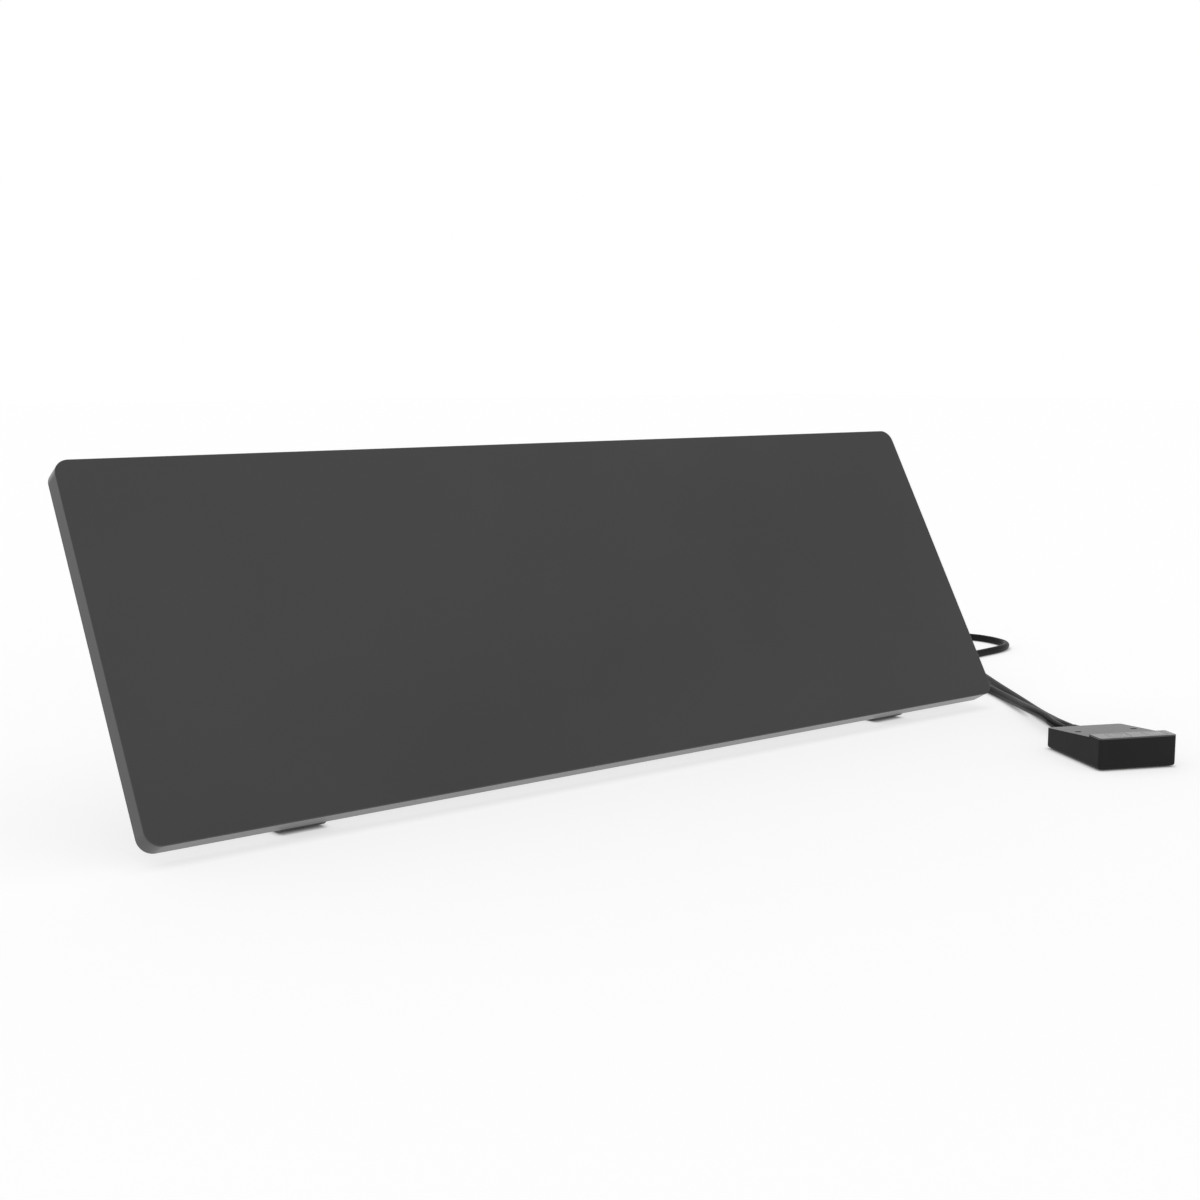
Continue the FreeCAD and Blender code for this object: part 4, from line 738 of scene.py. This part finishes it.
def strip_mesh(name, outlines):
    """Thin flat marks from outlines on the control box."""
    bm = bmesh.new()
    under = KEY_TOP + MARK_LIFT
    for outline in outlines:
        low = [bm.verts.new(on_control(x, y, under) * MM) for x, y in outline]
        high = [bm.verts.new(on_control(x, y, under + MARK_THICK) * MM) for x, y in outline]
        join_rings(bm, low, high)
        bm.faces.new(high)
        bm.faces.new(reversed(low))
    mesh = to_mesh(bm, name)
    mesh.materials.append(MARK_INK)
    return mesh


def oblong(x_from, x_to, y_from, y_to):
    return [(x_from, y_from), (x_to, y_from), (x_to, y_to), (x_from, y_to)]


def open_ring(x, y):
    """The outline of a ring that is open at the top."""
    start = math.pi / 2 + RING_OPEN
    span = 2 * math.pi - 2 * RING_OPEN
    angles = [start + span * i / RING_STEPS for i in range(RING_STEPS + 1)]
    inner_r = RING_R - RING_WIDTH
    outer = [(x + RING_R * math.cos(a), y + RING_R * math.sin(a)) for a in angles]
    inner = [(x + inner_r * math.cos(a), y + inner_r * math.sin(a)) for a in reversed(angles)]
    return outer + inner


def make_power_mark():
    """An open ring with a stroke."""
    x, y = POWER_KEY[0], POWER_KEY[1] + MARK_SHIFT
    stroke = oblong(x - RING_WIDTH / 2, x + RING_WIDTH / 2, y + STROKE_FROM, y + RING_R)
    piece = show("power_mark", strip_mesh("power_mark", [open_ring(x, y), stroke]))
    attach(piece, "power_press")
    return piece


def make_level_mark():
    """Three rising bars."""
    x, y = LEVEL_KEY[0], LEVEL_KEY[1] + MARK_SHIFT
    low = y - BAR_HEIGHTS[-1] / 2
    bars = []
    for i, height in enumerate(BAR_HEIGHTS):
        middle = x + (i - 1) * BAR_PITCH
        bars.append(oblong(middle - BAR_WIDTH / 2, middle + BAR_WIDTH / 2, low, low + height))
    piece = show("level_mark", strip_mesh("level_mark", bars))
    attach(piece, "level_press")
    return piece


power_mark = make_power_mark()
level_mark = make_level_mark()


# The control box's pieces listed, and the two cords laid in place of the CAD leads

CONTROL_PIECES = [name for name in nodes if name.startswith("control_") and name != "control_screws"]
CONTROL_PIECES += [name for name in nodes if name.startswith(("power_", "level_"))] + ["cord_boot"]


def lay_cords():
    heater_points = heater_lead_points()
    mains_points = mains_cord_points()
    heater_cord = make_cord("heater_cord", heater_points)
    mains_cord = make_cord("mains_cord", mains_points)
    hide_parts("heater_lead")
    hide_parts("mains_lead", "mains_coil", "mains_tail")


lay_cords()


# Floor and light: places in metres, heights in the sky as the sine of the angle

FLOOR_HALF = 14.0
FLOOR_COLOUR = (*grey(0.53), 1)
FLOOR_ROUGHNESS = 0.95
FLOOR_GLOW = 0.64
# Painted shade seen only in reflections: where the floor's glow is dimmed at its left, and by how much
REFLECTION_SHADE_EDGE = (-0.5, -0.42)
REFLECTION_SHADE_AMOUNT = 0.45
# Reach of the painted shade in the floor's glow where things touch it
CONTACT_SHADE_REACH = 0.005
SKY_LOW = 1.0
SKY_HIGH_FRONT = 0.2
SKY_HIGH_BACK = 0.35
SKY_FALL = (0.21, 0.6)
SKY_FRONT = (-0.5, 0.5)
SUN_STRENGTH = 0.85
SUN_ANGLE = 110.0
SUN_TILT = (math.radians(-9), math.radians(4), 0)


def floor_finish():
    """Pale and softly glowing; painted shade dims the glow where things touch it, and at the left in
    reflections only.
    """
    material = Material("floor", roughness=FLOOR_ROUGHNESS, specular=0.0)
    material.shader.inputs["Base Color"].default_value = FLOOR_COLOUR
    material.shader.inputs["Emission Color"].default_value = WHITE
    # Painted shade: ambient occlusion darkens the floor's glow where things touch it
    painted_contact_shade = material.add("ShaderNodeAmbientOcclusion", Distance=CONTACT_SHADE_REACH)
    # Painted shade seen only in reflections: glossy rays find the floor's glow dimmed at its left
    painted_reflection_shade = material.spread(material.part(material.place(), "X"), REFLECTION_SHADE_EDGE, (-REFLECTION_SHADE_AMOUNT, 0.0))
    in_gloss = material.add("ShaderNodeLightPath").outputs["Is Glossy Ray"]
    share = material.compute("ADD", material.compute("MULTIPLY", painted_reflection_shade, in_gloss), painted_contact_shade.outputs["AO"])
    glow = material.compute("MULTIPLY", share, FLOOR_GLOW)
    material.link(glow, material.shader.inputs["Emission Strength"])
    return material.data


def make_floor():
    h = FLOOR_HALF
    mesh = bpy.data.meshes.new("floor")
    mesh.from_pydata([(-h, -h, 0), (h, -h, 0), (h, h, 0), (-h, h, 0)], [], [(0, 1, 2, 3)])
    mesh.materials.append(floor_finish())
    show("floor", mesh)


def make_sun():
    data = bpy.data.lights.new("soft_light", "SUN")
    data.energy = SUN_STRENGTH
    data.angle = math.radians(SUN_ANGLE)
    light = show("soft_light", data)
    light.rotation_euler = SUN_TILT


def make_world():
    """A sky that is white all round near the horizon and darker above, most in front."""
    world = bpy.data.worlds.new("studio")
    bpy.context.scene.world = world
    world.use_nodes = True
    sky = Wiring(world.node_tree)
    direction = sky.add("ShaderNodeTexCoord").outputs["Generated"]
    high = sky.spread(sky.part(direction, "Y"), SKY_FRONT, (SKY_HIGH_FRONT, SKY_HIGH_BACK), "SMOOTHSTEP")
    light = sky.spread(sky.part(direction, "Z"), SKY_FALL, (SKY_LOW, high), "SMOOTHSTEP")
    background = world.node_tree.nodes["Background"]
    background.inputs["Color"].default_value = WHITE
    sky.link(light, background.inputs["Strength"])


make_floor()
make_sun()
make_world()
bpy.context.scene.view_settings.view_transform = "Standard"
